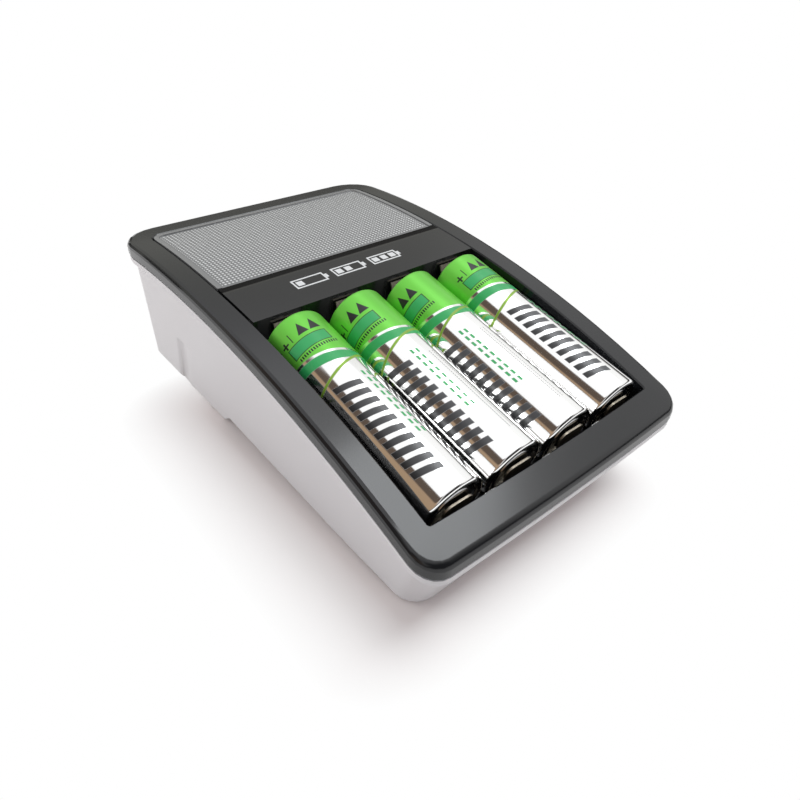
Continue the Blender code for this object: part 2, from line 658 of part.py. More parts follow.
def make_tray(folder):
    """Black tray with four channels, contact walls, the strip behind them and the panel's bed."""
    inner_front = front_wall(0.0) + BODY_WALL / math.cos(FRONT_DRAFT) + SEAT_GAP
    lean = math.tan(FRONT_DRAFT)
    bay_front = OPENING_FRONT - COVER_FRONT_BOW
    outer_front = COVER_FRONT_BOW + TRAY_INSET - HALF_LENGTH
    far_front = outer_front - TRAY_WALL
    bay_wall_rear = BAY_REAR + TRAY_WALL + SEAT_GAP
    bed_top = COVER_WALL + SEAT_GAP
    bed_bottom = bed_top + TRAY_FLANGE
    knee = (inner_front - outer_front) / lean
    tray_rear = HALF_LENGTH - TRAY_INSET
    outline = [(far_front, tray_bottom(far_front)), (bay_wall_rear, tray_bottom(bay_wall_rear))]
    outline += crown_band(bed_bottom, bed_top, bay_wall_rear, tray_rear)
    outline += crown_band(bed_top, bed_top, far_front, bay_wall_rear)[ARC_STEPS + 2:]

    half = HALF_WIDTH - TRAY_INSET
    stack = []
    for z, width, front in ((0.0, half - 2 * TRAY_WALL, inner_front), (knee, half, outer_front),
                            (BODY_TOP, half, outer_front)):
        stack.append([(x, y, z) for x, y in plan_loop(width, front, tray_rear,
                                                      BODY_FRONT_RADIUS - BODY_WALL,
                                                      COVER_REAR_RADIUS - TRAY_INSET)])
    tray = loft("battery_tray", stack, folder)
    combine(tray, [side_plate("tray_side", outline, COVER_WIDTH / 2, folder)], "INTERSECT")

    strip_rear = PANEL_FRONT - SEAT_GAP
    strip = side_plate("strip", crown_band(bed_bottom - TRAY_FLANGE / 2, 0.0, BAY_REAR - TRAY_WALL,
                                           strip_rear, 6), OPENING_HALF - SEAT_GAP, folder)
    bosses = []
    for side in (-1, 1):
        bosses.append(cylinder("boss", SCREW_RADIUS + SEAT_GAP + TOWER_WALL,
                               REAR_SEAT_HEIGHT + TOWER_WALL + SEAT_GAP,
                               crown(REAR_SCREW_Y) - bed_bottom + TRAY_FLANGE / 2,
                               (side * REAR_SCREW_X, REAR_SCREW_Y), folder))
    combine(tray, [strip] + bosses, "UNION")

    middle_y = (CELL_FRONT_Y + BAY_REAR) / 2
    section = Matrix(((1, 0, 0, 0),
                      (0, -math.sin(CELL_TILT), -math.cos(CELL_TILT), middle_y),
                      (0, math.cos(CELL_TILT), -math.sin(CELL_TILT), cell_axis(middle_y)),
                      (0, 0, 0, 1)))
    bay = plate("bay", [channel_outline()], 2 * COVER_WIDTH, section, folder)
    wall_face = inner_front + TRAY_WALL / math.cos(FRONT_DRAFT)
    knee_z = (wall_face - bay_front) / lean
    limits = [(wall_face, 0.0), (BAY_REAR, 0.0), (BAY_REAR, COVER_WIDTH), (bay_front, COVER_WIDTH),
              (bay_front, knee_z)]
    combine(bay, [side_plate("bay_side", limits, COVER_WIDTH, folder)], "INTERSECT")
    cuts = [bay]
    for side in (-1, 1):
        cuts.append(cylinder("front_screw_bore", SCREW_RADIUS + SEAT_GAP, 0.0,
                             front_boss_top() - TOWER_WALL + SCREW_LENGTH + SEAT_GAP,
                             (side * FRONT_SCREW_X, FRONT_SCREW_Y), folder, sides=16))
        cuts.append(cylinder("rear_screw_bore", SCREW_RADIUS + SEAT_GAP, 0.0,
                             REAR_SEAT_HEIGHT + SCREW_LENGTH + SEAT_GAP,
                             (side * REAR_SCREW_X, REAR_SCREW_Y), folder, sides=16))
    cuts.append(cylinder("light_bore", GUIDE_RADIUS + SEAT_GAP, BOARD_TOP, BODY_TOP + COVER_WALL,
                         (0.0, LED_Y), folder, sides=16))
    combine(tray, cuts, "DIFFERENCE")
    return paint(tray, (0.03, 0.03, 0.032), 0.38, 0.0)


def make_panel(folder):
    """Grey crowned panel with rounded rear corners and a raised border at its sides and rear."""
    half = OPENING_HALF - SEAT_GAP
    outline = plan_loop(half, PANEL_FRONT, OPENING_REAR - SEAT_GAP, OPENING_FRONT_RADIUS,
                        OPENING_REAR_RADIUS - SEAT_GAP)
    panel = plate("display_panel", [outline], 2 * COVER_WIDTH, Matrix.Identity(4), folder)
    band = crown_band(COVER_WALL, 0.0, PANEL_FRONT - COVER_WALL, OPENING_REAR + COVER_WALL, 10)
    combine(panel, [side_plate("panel_band", band, COVER_WIDTH, folder)], "INTERSECT")
    field = plan_loop(half - PANEL_BORDER, PANEL_FRONT - COVER_WALL, OPENING_REAR - SEAT_GAP - PANEL_BORDER,
                      OPENING_FRONT_RADIUS, OPENING_REAR_RADIUS - PANEL_BORDER)
    recess = plate("panel_field", [field], 2 * COVER_WIDTH, Matrix.Identity(4), folder)
    above = crown_band(PANEL_RECESS, -COVER_WALL, PANEL_FRONT - 2 * COVER_WALL, OPENING_REAR + COVER_WALL, 10)
    combine(recess, [side_plate("field_band", above, COVER_WIDTH, folder)], "INTERSECT")
    combine(panel, [recess], "DIFFERENCE")
    return paint(panel, (0.16, 0.16, 0.17), 0.35, 0.0)


def make_cell(number, folder):
    """One round cell: a can with rolled label ends, a flat negative end and a raised positive nub."""
    edge = CELL_EDGE_RADIUS
    bevel = edge * (1 - math.sin(math.pi / 4))
    top = CELL_CAN_LENGTH
    nub = CELL_NUB_RADIUS
    profile = [
        (0.0, top + CELL_NUB_HEIGHT),
        (nub - edge / 2, top + CELL_NUB_HEIGHT),
        (nub, top + CELL_NUB_HEIGHT - edge / 2),
        (nub, top - edge),
        (CELL_RADIUS - CELL_CRIMP_WIDTH, top - edge),
        (CELL_RADIUS - CELL_CRIMP_WIDTH + edge, top),
        (CELL_RADIUS - edge, top),
        (CELL_RADIUS - bevel, top - bevel),
        (CELL_RADIUS, top - edge),
        (CELL_RADIUS, edge),
        (CELL_RADIUS - bevel, bevel),
        (CELL_RADIUS - edge, 0.0),
        (0.0, 0.0),
    ]
    cell = turned(f"cell_{number + 1}", profile, 32, folder)
    cell.location = (cell_x(number), CELL_FRONT_Y, CELL_FRONT_Z)
    cell.rotation_euler = (CELL_TILT - math.pi / 2, 0.0, 0.0)
    return paint(cell, (0.55, 0.62, 0.50), 0.25, 0.3)


def disc_face(z):
    """Place along the charger of the cells' flat negative end at a height."""
    return CELL_FRONT_Y - (z - CELL_FRONT_Z) * AXIS_SLOPE


def spring_path():
    """Centre line of a negative leaf: top lead-in, nose on the cell, back leg, step for small cells, foot."""
    clear = SEAT_GAP + CONTACT_SHEET / 2
    nose_z = CELL_FRONT_Z + LEAF_NOSE_RISE
    nose = (disc_face(nose_z) - clear, nose_z)
    rise = SMALL_CELL_RADIUS - math.sqrt(SMALL_CELL_RADIUS ** 2 - (CONTACT_WIDTH / 2) ** 2)
    groove_floor = (rise - GROOVE_DEPTH) / math.cos(CELL_TILT)
    step_y = disc_face(CELL_FRONT_Z - CELL_RADIUS) + CONTACT_STEP
    floor_z = cell_axis(step_y) + groove_floor
    under_cell = cell_axis(step_y) - CELL_RADIUS / math.cos(CELL_TILT)
    shelf_z = under_cell - LEAF_SHELF_GAP
    wall = OPENING_FRONT + LEAF_BACK_GAP
    return [
        (nose[0] - clear, nose[1] + LEAF_LEAD_IN),
        nose,
        (wall, CELL_FRONT_Z - LEAF_BACK_DROP),
        (wall + LEAF_KNEE / 2, shelf_z - LEAF_KNEE),
        (step_y - CONTACT_SHEET, shelf_z),
        (step_y + CONTACT_SHEET, (shelf_z + floor_z) / 2),
        (step_y, floor_z + clear),
    ]


def make_spring(number, folder):
    """One negative contact leaf, bent from sheet, at the bay's front wall; it turns about its foot."""
    foot = spring_path()[-1]
    path = [(y - foot[0], z - foot[1]) for y, z in spring_path()]
    leaf = side_plate(f"negative_contact_{number + 1}", ribbon(path, CONTACT_SHEET), CONTACT_WIDTH / 2,
                      folder)
    leaf.location = (cell_x(number), foot[0], foot[1])
    return paint(leaf, (0.72, 0.66, 0.52), 0.28, 1.0)


def make_plate_contact(number, folder):
    """One positive contact, a sheet against the bay's rear wall with a bulge that meets the nub."""
    back = BAY_REAR - SEAT_GAP - CONTACT_SHEET / 2
    length = CELL_CAN_LENGTH + CELL_NUB_HEIGHT
    nub = (CELL_FRONT_Y + length * math.cos(CELL_TILT), CELL_FRONT_Z + length * math.sin(CELL_TILT))
    nose = nub[0] + (SEAT_GAP + CONTACT_SHEET / 2) / math.cos(CELL_TILT)
    rise = SMALL_CELL_RADIUS - math.sqrt(SMALL_CELL_RADIUS ** 2 - (CONTACT_WIDTH / 2) ** 2)
    low = cell_axis(BAY_REAR) + (rise - GROOVE_DEPTH) / math.cos(CELL_TILT) + SEAT_GAP
    path = [
        (back, low),
        (back, nub[1] - BULGE_LOWER_LEG),
        (nose, nub[1] - BULGE_HEIGHT / 2),
        (nose, nub[1] + BULGE_HEIGHT / 2),
        (back, nub[1] + BULGE_UPPER_LEG),
    ]
    sheet = side_plate(f"positive_contact_{number + 1}", ribbon(path, CONTACT_SHEET), CONTACT_WIDTH / 2,
                       folder, cell_x(number))
    return paint(sheet, (0.72, 0.66, 0.52), 0.28, 1.0)


def make_carrier(folder):
    """Swivel barrel of the prongs, with a slot for each and an axle stub at both ends."""
    half = BARREL_LENGTH / 2
    barrel = cylinder("prong_carrier", BARREL_RADIUS, -half, half, (0.0, 0.0), folder, "X", 32)
    stub_half = half + SEAT_GAP + STUB_LENGTH
    combine(barrel, [cylinder("stub", STUB_RADIUS, -stub_half, stub_half, (0.0, 0.0), folder, "X", 24)],
            "UNION")
    slots = []
    for side in (-1, 1):
        x = side * PRONG_SPACING / 2
        slots.append(box("root_slot", (x - PRONG_THICKNESS / 2 - SEAT_GAP, -PRONG_ROOT - SEAT_GAP,
                                       -PRONG_WIDTH / 2 - SEAT_GAP),
                         (x + PRONG_THICKNESS / 2 + SEAT_GAP, 2 * BARREL_RADIUS,
                          PRONG_WIDTH / 2 + SEAT_GAP), folder))
    combine(barrel, slots, "DIFFERENCE")
    barrel.location = (0.0, BARREL_Y, BARREL_Z)
    return paint(barrel, (0.03, 0.03, 0.032), 0.45, 0.0)


def make_prong(name, side, folder):
    """One flat mains prong with a chamfered tip and a hole, folded back along the charger."""
    tip = BARREL_RADIUS + PRONG_REACH
    half = PRONG_WIDTH / 2
    cut = PRONG_CHAMFER
    outline = [(-PRONG_ROOT, -half), (tip - cut, -half), (tip, cut - half), (tip, half - cut),
               (tip - cut, half), (-PRONG_ROOT, half)]
    hole = []
    sides = 14
    for step in range(sides):
        turn = 2 * math.pi * step / sides
        hole.append((tip - PRONG_HOLE_TO_TIP + PRONG_HOLE_RADIUS * math.cos(turn),
                     PRONG_HOLE_RADIUS * math.sin(turn)))
    prong = plate(name, [outline, hole], PRONG_THICKNESS,
                  Matrix.Translation((side * PRONG_SPACING / 2, 0, 0)) @ SIDE_VIEW, folder)
    prong.location = (0.0, BARREL_Y, BARREL_Z)
    return paint(prong, (0.75, 0.74, 0.72), 0.3, 1.0)


def make_mains_contact(name, side, folder):
    """Sheet contact from the board down through the recess's roof, ending just over the barrel."""
    foot_z = BARREL_Z + BARREL_RADIUS + SEAT_GAP + CONTACT_SHEET / 2
    path = [(BARREL_Y + MAINS_CONTACT_TOE, foot_z), (BARREL_Y, foot_z),
            (BARREL_Y, BOARD_HEIGHT - SEAT_GAP)]
    sheet = side_plate(name, ribbon(path, CONTACT_SHEET), MAINS_CONTACT_WIDTH / 2, folder,
                       side * PRONG_SPACING / 2)
    return paint(sheet, (0.72, 0.58, 0.33), 0.35, 1.0)


def make_board(folder):
    """Circuit board on the housing's posts, with two screw holes."""
    board = box("circuit_board", (-BOARD_HALF, BOARD_FRONT, BOARD_HEIGHT),
                (BOARD_HALF, BOARD_REAR, BOARD_TOP), folder)
    holes = []
    for side in (-1, 1):
        holes.append(cylinder("board_hole", SCREW_RADIUS + SEAT_GAP, 0.0, BODY_TOP,
                              (side * POST_X, POST_FRONT_Y), folder, sides=16))
    combine(board, holes, "DIFFERENCE")
    return paint(board, (0.05, 0.20, 0.08), 0.5, 0.0)


def make_board_parts(folder):
    """Transformer, capacitors, controller chip, indicator and its light guide."""
    floor = BOARD_TOP + SEAT_GAP
    core = box("transformer", (-CORE_WIDTH / 2, CORE_Y - CORE_LENGTH / 2, floor),
               (CORE_WIDTH / 2, CORE_Y + CORE_LENGTH / 2, floor + CORE_HEIGHT), folder)
    winding = cylinder("winding", WINDING_RADIUS, floor + WINDING_MARGIN,
                       floor + CORE_HEIGHT - WINDING_MARGIN, (0.0, CORE_Y), folder, sides=24)
    combine(core, [winding], "UNION")
    paint(core, (0.09, 0.08, 0.07), 0.6, 0.0)

    radius = CAPACITOR_RADIUS
    can = cylinder("input_capacitor", radius, CORE_Y - CAPACITOR_LENGTH / 2, CORE_Y + CAPACITOR_LENGTH / 2,
                   (CORE_WIDTH / 2 + CAPACITOR_GAP + radius, floor + radius), folder, "Y", 24)
    paint(can, (0.05, 0.06, 0.12), 0.35, 0.0)
    radius = CAPACITOR_RADIUS * OUTPUT_CAPACITOR_SHARE
    can = cylinder("output_capacitor", radius, floor, floor + OUTPUT_CAPACITOR_HEIGHT,
                   (-CORE_WIDTH / 2 - CAPACITOR_GAP - radius, CORE_Y), folder, sides=24)
    paint(can, (0.05, 0.06, 0.12), 0.35, 0.0)
    chip_x = BOARD_HALF / 2
    chip = box("controller_chip", (chip_x - CHIP_WIDTH / 2, LED_Y - CHIP_LENGTH / 2, floor),
               (chip_x + CHIP_WIDTH / 2, LED_Y + CHIP_LENGTH / 2, floor + CHIP_HEIGHT), folder)
    paint(chip, (0.02, 0.02, 0.02), 0.5, 0.0)
    dome = [(0.0, LED_HEIGHT)]
    for turn in (30, 60, 90):
        sweep = math.radians(turn)
        dome.append((LED_RADIUS * math.sin(sweep), LED_HEIGHT - LED_RADIUS * (1 - math.cos(sweep))))
    dome += [(LED_RADIUS, 0.0), (0.0, 0.0)]
    lamp = turned("indicator_led", dome, 20, folder)
    lamp.location = (0.0, LED_Y, floor)
    paint(lamp, (0.75, 0.85, 0.75), 0.2, 0.0)
    guide_low = floor + LED_HEIGHT + SEAT_GAP
    guide_high = crown(LED_Y) - COVER_WALL - 2 * SEAT_GAP
    guide = cylinder("light_guide", GUIDE_RADIUS, guide_low, guide_high, (0.0, LED_Y), folder, sides=16)
    paint(guide, (0.85, 0.87, 0.88), 0.1, 0.0)


def make_screw(name, x, y, head_seat, length, head_up, folder):
    """Pan-head screw with its head seat at a height, the shank pointing up, or down when the head is up."""
    head = SCREW_HEAD_HEIGHT
    profile = [(0.0, length), (SCREW_TIP_RADIUS, length), (SCREW_RADIUS, length - SCREW_RADIUS),
               (SCREW_RADIUS, 0.0), (SCREW_HEAD_RADIUS, 0.0), (SCREW_HEAD_RADIUS, -SCREW_HEAD_EDGE),
               (SCREW_HEAD_CROWN_RADIUS, -head), (0.0, -head)]
    screw = turned(name, profile, 16, folder)
    gap = SEAT_GAP if head_up else -SEAT_GAP
    screw.location = (x, y, head_seat + gap)
    screw.rotation_euler = (math.pi if head_up else 0.0, 0.0, 0.0)
    return paint(screw, (0.55, 0.55, 0.57), 0.35, 1.0)


def main():
    """Clears the scene and models every piece."""
    for thing in list(bpy.data.objects):
        bpy.data.objects.remove(thing)
    folder = bpy.data.collections.new("aa_battery_charger")
    bpy.context.scene.collection.children.link(folder)

    make_housing(folder)
    make_cover(folder)
    make_panel(folder)
    make_tray(folder)
    for number in range(CELL_COUNT):
        make_cell(number, folder)
        make_spring(number, folder)
        make_plate_contact(number, folder)
    make_carrier(folder)
    for name, side in (("left", -1), ("right", 1)):
        make_prong(f"prong_{name}", side, folder)
        make_mains_contact(f"mains_contact_{name}", side, folder)
        make_screw(f"front_screw_{name}", side * FRONT_SCREW_X, FRONT_SCREW_Y,
                   front_boss_top() - TOWER_WALL, SCREW_LENGTH, False, folder)
        make_screw(f"rear_screw_{name}", side * REAR_SCREW_X, REAR_SCREW_Y, REAR_SEAT_HEIGHT, SCREW_LENGTH,
                   False, folder)
        make_screw(f"board_screw_{name}", side * POST_X, POST_FRONT_Y, BOARD_TOP, BOARD_SCREW_LENGTH, True,
                   folder)
    make_board(folder)
    make_board_parts(folder)


main()
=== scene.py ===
"""Dresses the four-cell battery charger: finer surfaces, finishes, studio and camera.

Laid out as an add-on and run as a script. Lengths are in metres. X runs across the charger, Y
towards its tall rear end and Z up.
"""

import math

import bmesh
import bpy
from bpy.props import FloatProperty, FloatVectorProperty, IntProperty, PointerProperty
from mathutils import Matrix, Vector


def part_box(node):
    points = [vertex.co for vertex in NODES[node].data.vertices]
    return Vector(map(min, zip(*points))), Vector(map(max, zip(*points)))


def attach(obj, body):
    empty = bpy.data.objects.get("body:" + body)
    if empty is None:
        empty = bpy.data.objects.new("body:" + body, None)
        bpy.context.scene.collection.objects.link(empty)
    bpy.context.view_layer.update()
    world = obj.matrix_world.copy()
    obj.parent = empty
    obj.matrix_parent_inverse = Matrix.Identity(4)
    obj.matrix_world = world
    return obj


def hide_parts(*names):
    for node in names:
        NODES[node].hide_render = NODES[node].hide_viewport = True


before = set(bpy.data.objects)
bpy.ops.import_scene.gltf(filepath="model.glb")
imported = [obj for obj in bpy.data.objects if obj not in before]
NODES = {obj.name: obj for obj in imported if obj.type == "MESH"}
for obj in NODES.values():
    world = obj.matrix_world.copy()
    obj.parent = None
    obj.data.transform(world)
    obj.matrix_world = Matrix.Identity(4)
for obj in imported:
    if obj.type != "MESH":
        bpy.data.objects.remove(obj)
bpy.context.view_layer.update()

bl_info = {
    "name": "Battery charger looks",
    "version": (1, 0, 0),
    "blender": (4, 5, 0),
    "location": "3D View > Sidebar > Charger",
    "description": "Finishes, cell sleeves, panel and studio for a four-cell battery charger",
    "category": "Object",
}

# Copies of CAD nodes: merging distance, and the angles in degrees that count as flat or smooth
MERGE_DISTANCE = 0.000002
QUAD_FLAT = 2
QUAD_SHAPE = 60
HOUSING_FLAT = 0.3
SMOOTH_ANGLE = 30
COVER_SMOOTH_ANGLE = 25
SLEEVE_SMOOTH_ANGLE = 40
NORMAL_WEIGHT = 90

# In edit mode: nearness that counts as touching or level, and how a round end is known
CLOSE = 1e-5
LEVEL = 1e-6
FLAT_NORMAL = 0.9
ROUND_CORNERS = 8

# Cells as the tray holds them: lean, place of the front end, sleeve's radius and length
CELL_NAMES = ("cell_1", "cell_2", "cell_3", "cell_4")
CELL_TILT = 0.208
CELL_FRONT_Y = -0.048615
CELL_FRONT_Z = 0.01844
CELL_RADIUS = 0.00715
CELL_LENGTH = 0.0496

# Sleeve's rolled end and wall, and the can inside it, a small gap in from each side
SLEEVE_ROUND = 0.0008
SLEEVE_ROUND_STEPS = 6
SLEEVE_WALL = 0.00012
CAN_GAP = 0.00016
CAN_ROUND = 0.0004
CAN_ROUND_STEPS = 3

# The can's ends, from the edge in: width of each inset, and the new face's move along the axis
CAN_FRONT = (
    (0.0012, 0.0),
    (0.0003, 0.0007),
    (0.0004, 0.0),
    (0.00026, -0.0007),
    (0.0004, -0.00005),
    (0.0020, 0.0),
)
CAN_REAR = (
    (0.0012, 0.0),
    (0.0003, -0.0003),
    (0.0027, 0.0),
    (0.0002, 0.0010),
    (0.0004, 0.00034),
)

# Paper washer round the nub: depth below the sleeve's end, thickness, inset and width
COLLAR_DEPTH = 0.00015
COLLAR_THICKNESS = 0.0003
COLLAR_INSET = 0.0014
COLLAR_WIDTH = 0.0026
COLLAR_FACETS = 64

# Print on the unrolled sleeve: heights in shares of its length, places round it in degrees.
# Four numbers are the low, high, left and right bounds of a shape. A fill is the part of a
# repeated step that a mark takes up, from and to, with the softness of its edges.
FULL_TURN = 360.0
PRINT_TURNS = (0.0, -27.0, -42.0, 9.0)
WAVE_START = 10.0
WAVE = 0.035
COUNTER_WAVE = 0.045
LIME_START = 0.757
RING = (0.698, 0.744)
THIN_RING = (0.652, 0.665)
FRAME_OUTSIDE = (0.808, 0.867, -57.0, 17.0)
FRAME_INSIDE = (0.8115, 0.8635, -55.5, 15.5)
TICKS = (0.786, 0.801, -52.0, 22.0)
TICK_STEP = 4.6
TICK_FILL = (0.0, 0.55, 0.06)
CROSS_BAR = (0.886, 0.894, -61.0, -47.0)
CROSS_POST = (0.872, 0.908, -55.6, -52.4)
STROKE = (0.878, 0.925, -41.0, -39.4)
ARROW_MIDDLES = (-17.0, 5.0)
ARROW_BASE = 0.885
ARROW_TIP = 0.944
ARROW_SLOPE = 0.0060
SLANT = 0.00075
BARS = (0.085, 0.585, -46.0, -2.0)
BAR_STEP = 0.050
BAR_FILL = (0.06, 0.64, 0.03)
DASHES = (0.26, 0.62, 9.0, 22.0)
DASH_STEP = 0.040
DASH_FILL = (0.12, 0.74, 0.04)
DASH_HOLLOW = (13.0, 18.0)
FINE_ROWS = (0.10, 0.56, 30.0, 50.0)
FINE_TURN_STEP = 7.0
FINE_TURN_FILL = (0.0, 0.16, 0.03)
FINE_STEP = 0.011
FINE_FILL = (0.0, 0.68, 0.05)

# Softness of the print's edges up the sleeve, along slanting ones and round the sleeve
SOFT_UP = 0.0012
SOFT_SLANT = 0.002
SOFT_TURN = 0.5
SOFT_COLUMN = 0.7

# Sleeve's bar and fine print colours, the bars' grey being a painted sheen that lightens them from
# ink towards the sleeve's top over a span of angles, and how foil and print differ in metal and
# roughness
BAR_SHEEN_GREY = (0.105, 0.105, 0.11)
BAR_SHEEN_SPAN = (-48.0, 0.0)
FINE_GREY = (0.10, 0.10, 0.10)
FOIL_METALLIC = 1.0
PRINT_METALLIC = 0.28
OPAQUE_LOSS = 0.26
FOIL_ROUGHNESS = 0.09
PRINT_ROUGHNESS = 0.30

# Pictograms on the strip in front of the panel: middle line, size, left edges, bars and line
MARK_MIDDLE = 0.0099
MARK_HEIGHT = 0.0034
MARK_LENGTH = 0.0082
MARK_STARTS = (-0.0165, -0.0060, 0.0045)
MARK_BARS = (1, 2, 3)
MARK_STEPS = 3
MARK_BAR_FILL = (0.16, 0.84, 0.02)
MARK_LINE = 0.00042
MARK_NUB = 0.0007
MARK_SOFT = 0.00006
STRIP_LEVEL = 0.033
STRIP_SOFT = 0.0002

# Dotted panel: gloss, the shares of its plain edge at which the dots and the field start, and
# the dots' softness, dome (middle and softness in shares of the radius) and relief
PANEL_ROUGHNESS = 0.28
PANEL_COAT = 0.5
PANEL_COAT_ROUGHNESS = 0.15
PANEL_GLOSS_SCALE = 150.0
PANEL_START_SHARE = 0.4
PANEL_FIELD_SHARE = 0.65
PANEL_SOFT = 0.00008
DOT_SOFT = 0.05
DOT_DOME = (0.8, 0.5)
DOT_RELIEF = 0.5
DOT_RISE = 0.00012

# Contact leaf: height of the zone under its top edge that holds its corners, and their radius
TONGUE_ZONE = 0.0004
TONGUE_ROUND = 0.0017
TONGUE_ROUND_STEPS = 8

# Finishes: scales of the noise, how far gloss, colour and relief follow it, and plain colours
DRIFT_SCALE = 45.0
GLOSS_SCALE = 120.0
GLOSS_SHARE = 0.12
GRAIN_SCALE = 2600.0
GRAIN_DEPTH = 0.00002
SCRATCH_SCALE = 400.0
DRAWN_STRETCH = 6
DRAWN_GLOSS = (0.7, 1.4)
STAIN_SCALE = 300.0
STAIN_SHADE = 0.82
CAN_STEEL = (0.55, 0.55, 0.56)
PAPER = (0.75, 0.76, 0.75)
BRASS = (0.70, 0.50, 0.22)
SCREW_STEEL = (0.45, 0.45, 0.46)

# Kept CAD nodes with a moulded finish: material, colour, roughness and colour drift, and a
# coarser grain on the board
INNER_FINISHES = (
    ("prong_carrier", "carrier_black", (0.018, 0.018, 0.019), 0.42, 0.05),
    ("circuit_board", "board_green", (0.03, 0.14, 0.05), 0.4, 0.2, 900.0),
    ("transformer", "core_brown", (0.06, 0.05, 0.04), 0.6, 0.3),
    ("input_capacitor", "sleeve_navy", (0.03, 0.04, 0.09), 0.3, 0.1),
    ("output_capacitor", "sleeve_navy_small", (0.03, 0.04, 0.09), 0.3, 0.1),
    ("controller_chip", "chip_black", (0.02, 0.02, 0.02), 0.5, 0.1),
    ("indicator_led", "lamp_milky", (0.7, 0.8, 0.7), 0.2, 0.05),
    ("light_guide", "guide_clear", (0.8, 0.82, 0.83), 0.1, 0.02),
)

# Floor, and the white it glows with, a painted light laid over its shadow: the foot's left and
# front edges, the lines past which this painted light thins the shadow out to the right and to the
# rear, the rates at which it does, and the fade's start and curve
FLOOR_SIZE = 6.0
FLOOR_LEVEL = -0.0002
FLOOR_ROUGHNESS = 0.6
FLOOR_SPECULAR = 0.2
FLOOR_DRIFT_SCALE = 30.0
FLOOR_SHADE = 0.985
FOOT_LEFT = -0.0335
FOOT_FRONT = -0.0506
THIN_RIGHT = 0.012
THIN_REAR = 0.015
THIN_FRONT_RATE = 1.5
THIN_RIGHT_RATE = 40.0
THIN_REAR_RATE = 27.0
THIN_START = 0.002
THIN_CURVE = 0.8

# Studio walls as mirrors see them: colour by the sine of the height above the horizon
RIGHT_WALL = (
    (0.0, (0.030, 0.026, 0.023)),
    (0.15, (0.045, 0.040, 0.036)),
    (0.30, (0.90, 0.90, 0.89)),
    (1.0, (1.0, 1.0, 1.0)),
)
REAR_WALL = (
    (0.0, (0.030, 0.026, 0.023)),
    (0.15, (0.045, 0.040, 0.036)),
    (0.27, (0.50, 0.50, 0.455)),
    (0.50, (0.535, 0.535, 0.50)),
    (0.60, (0.62, 0.62, 0.60)),
    (0.71, (0.86, 0.86, 0.88)),
    (0.80, (0.97, 0.98, 1.0)),
    (1.0, (1.0, 1.0, 1.0)),
)
LEFT_WALL = (
    (0.0, (0.045, 0.033, 0.026)),
    (0.06, (0.060, 0.043, 0.033)),
    (0.12, (0.335, 0.232, 0.148)),
    (0.49, (0.345, 0.240, 0.155)),
    (0.54, (0.095, 0.070, 0.055)),
    (0.775, (0.100, 0.074, 0.058)),
    (0.80, (0.97, 0.97, 0.98)),
    (1.0, (1.0, 1.0, 1.0)),
)
FRONT_WALL = (
    (0.0, (0.020, 0.018, 0.018)),
    (0.62, (0.030, 0.028, 0.028)),
    (0.82, (0.90, 0.90, 0.91)),
    (1.0, (1.0, 1.0, 1.0)),
)

# Where each wall stands: compass angle from the rear in radians, from, to and softness. The
# right wall fills the rest, and the front wall starts at an angle to either side.
REAR_ZONE = (-0.75, 0.95, 0.2)
LEFT_ZONE = (-2.3, -0.75, 0.15)
FRONT_EDGE = (2.5, 0.25)

# Strength of the walls, which about doubles in a zone high on the right, the tint of the sky that
# lights the charger, and the white that the camera sees
MIRROR_STRENGTH = 1.1
LIFT_HEIGHT = (0.66, 0.86)
LIFT_ZONE = (0.35, 2.3, 0.3)
SKY_TINT = (0.95, 0.97, 1.0)
WHITE = (1.0, 1.0, 1.0)

# Lamps: place, width and height of each, where the soft ones look, and tints
KEY_LAMP = ((0.327, -0.082, 0.834), 0.48, 0.48)
SIDE_LAMP = ((0.45, 0.35, 0.35), 0.6, 0.5)
REAR_LAMP = ((-0.32, 0.32, 0.20), 0.35, 0.3)
SOFT_LAMP_TARGET = (0, 0, 0.02)
COOL_TINT = (0.93, 0.97, 1.0)
WARM_TINT = (1.0, 0.985, 0.97)

# Camera: turn as a rotation vector, place, and focal length in pixels of the square picture
CAMERA_TURN = (2.124, -0.757, 0.432)
CAMERA_PLACE = (-0.082292, -0.098387, 0.099341)
CAMERA_FOCUS = 639.565
PICTURE_WIDTH = 800.0
SENSOR_WIDTH = 36.0
CAMERA_NEAR = 0.005


def colour(name, text, value):
    """Colour property with a plain default."""
    return FloatVectorProperty(name=name, description=text, subtype="COLOR", size=4, min=0.0,
                               max=1.0, default=(*value, 1.0))


def length(name, text, value, low, high):
    """Length property in metres."""
    return FloatProperty(name=name, description=text, subtype="DISTANCE", unit="LENGTH",
                         default=value, min=low, max=high)


def power(name, text, value):
    """Lamp power property in watts."""
    return FloatProperty(name=name, description=text, subtype="POWER", unit="POWER",
                         default=value, min=0.0, max=50.0)


class CellSettings(bpy.types.PropertyGroup):
    """Sizes and colours of the cells."""
    foil: colour("Foil", "Bare metallic sleeve", (0.93, 0.93, 0.925))
    lime: colour("Lime", "Rear third of the sleeve", (0.168, 0.65, 0.062))
    teal: colour("Teal", "Block, ring and dashes", (0.035, 0.42, 0.12))
    olive: colour("Olive", "Thin ring", (0.26, 0.45, 0.045))
    ink: colour("Ink", "Dark marks", (0.012, 0.012, 0.013))
    facets: IntProperty(name="Facets", description="Faces round a cell", default=96, min=24,
                        max=256)
    fold: length("Fold", "Width of the sleeve folded over each end", 0.0011, 0.0004, 0.003)


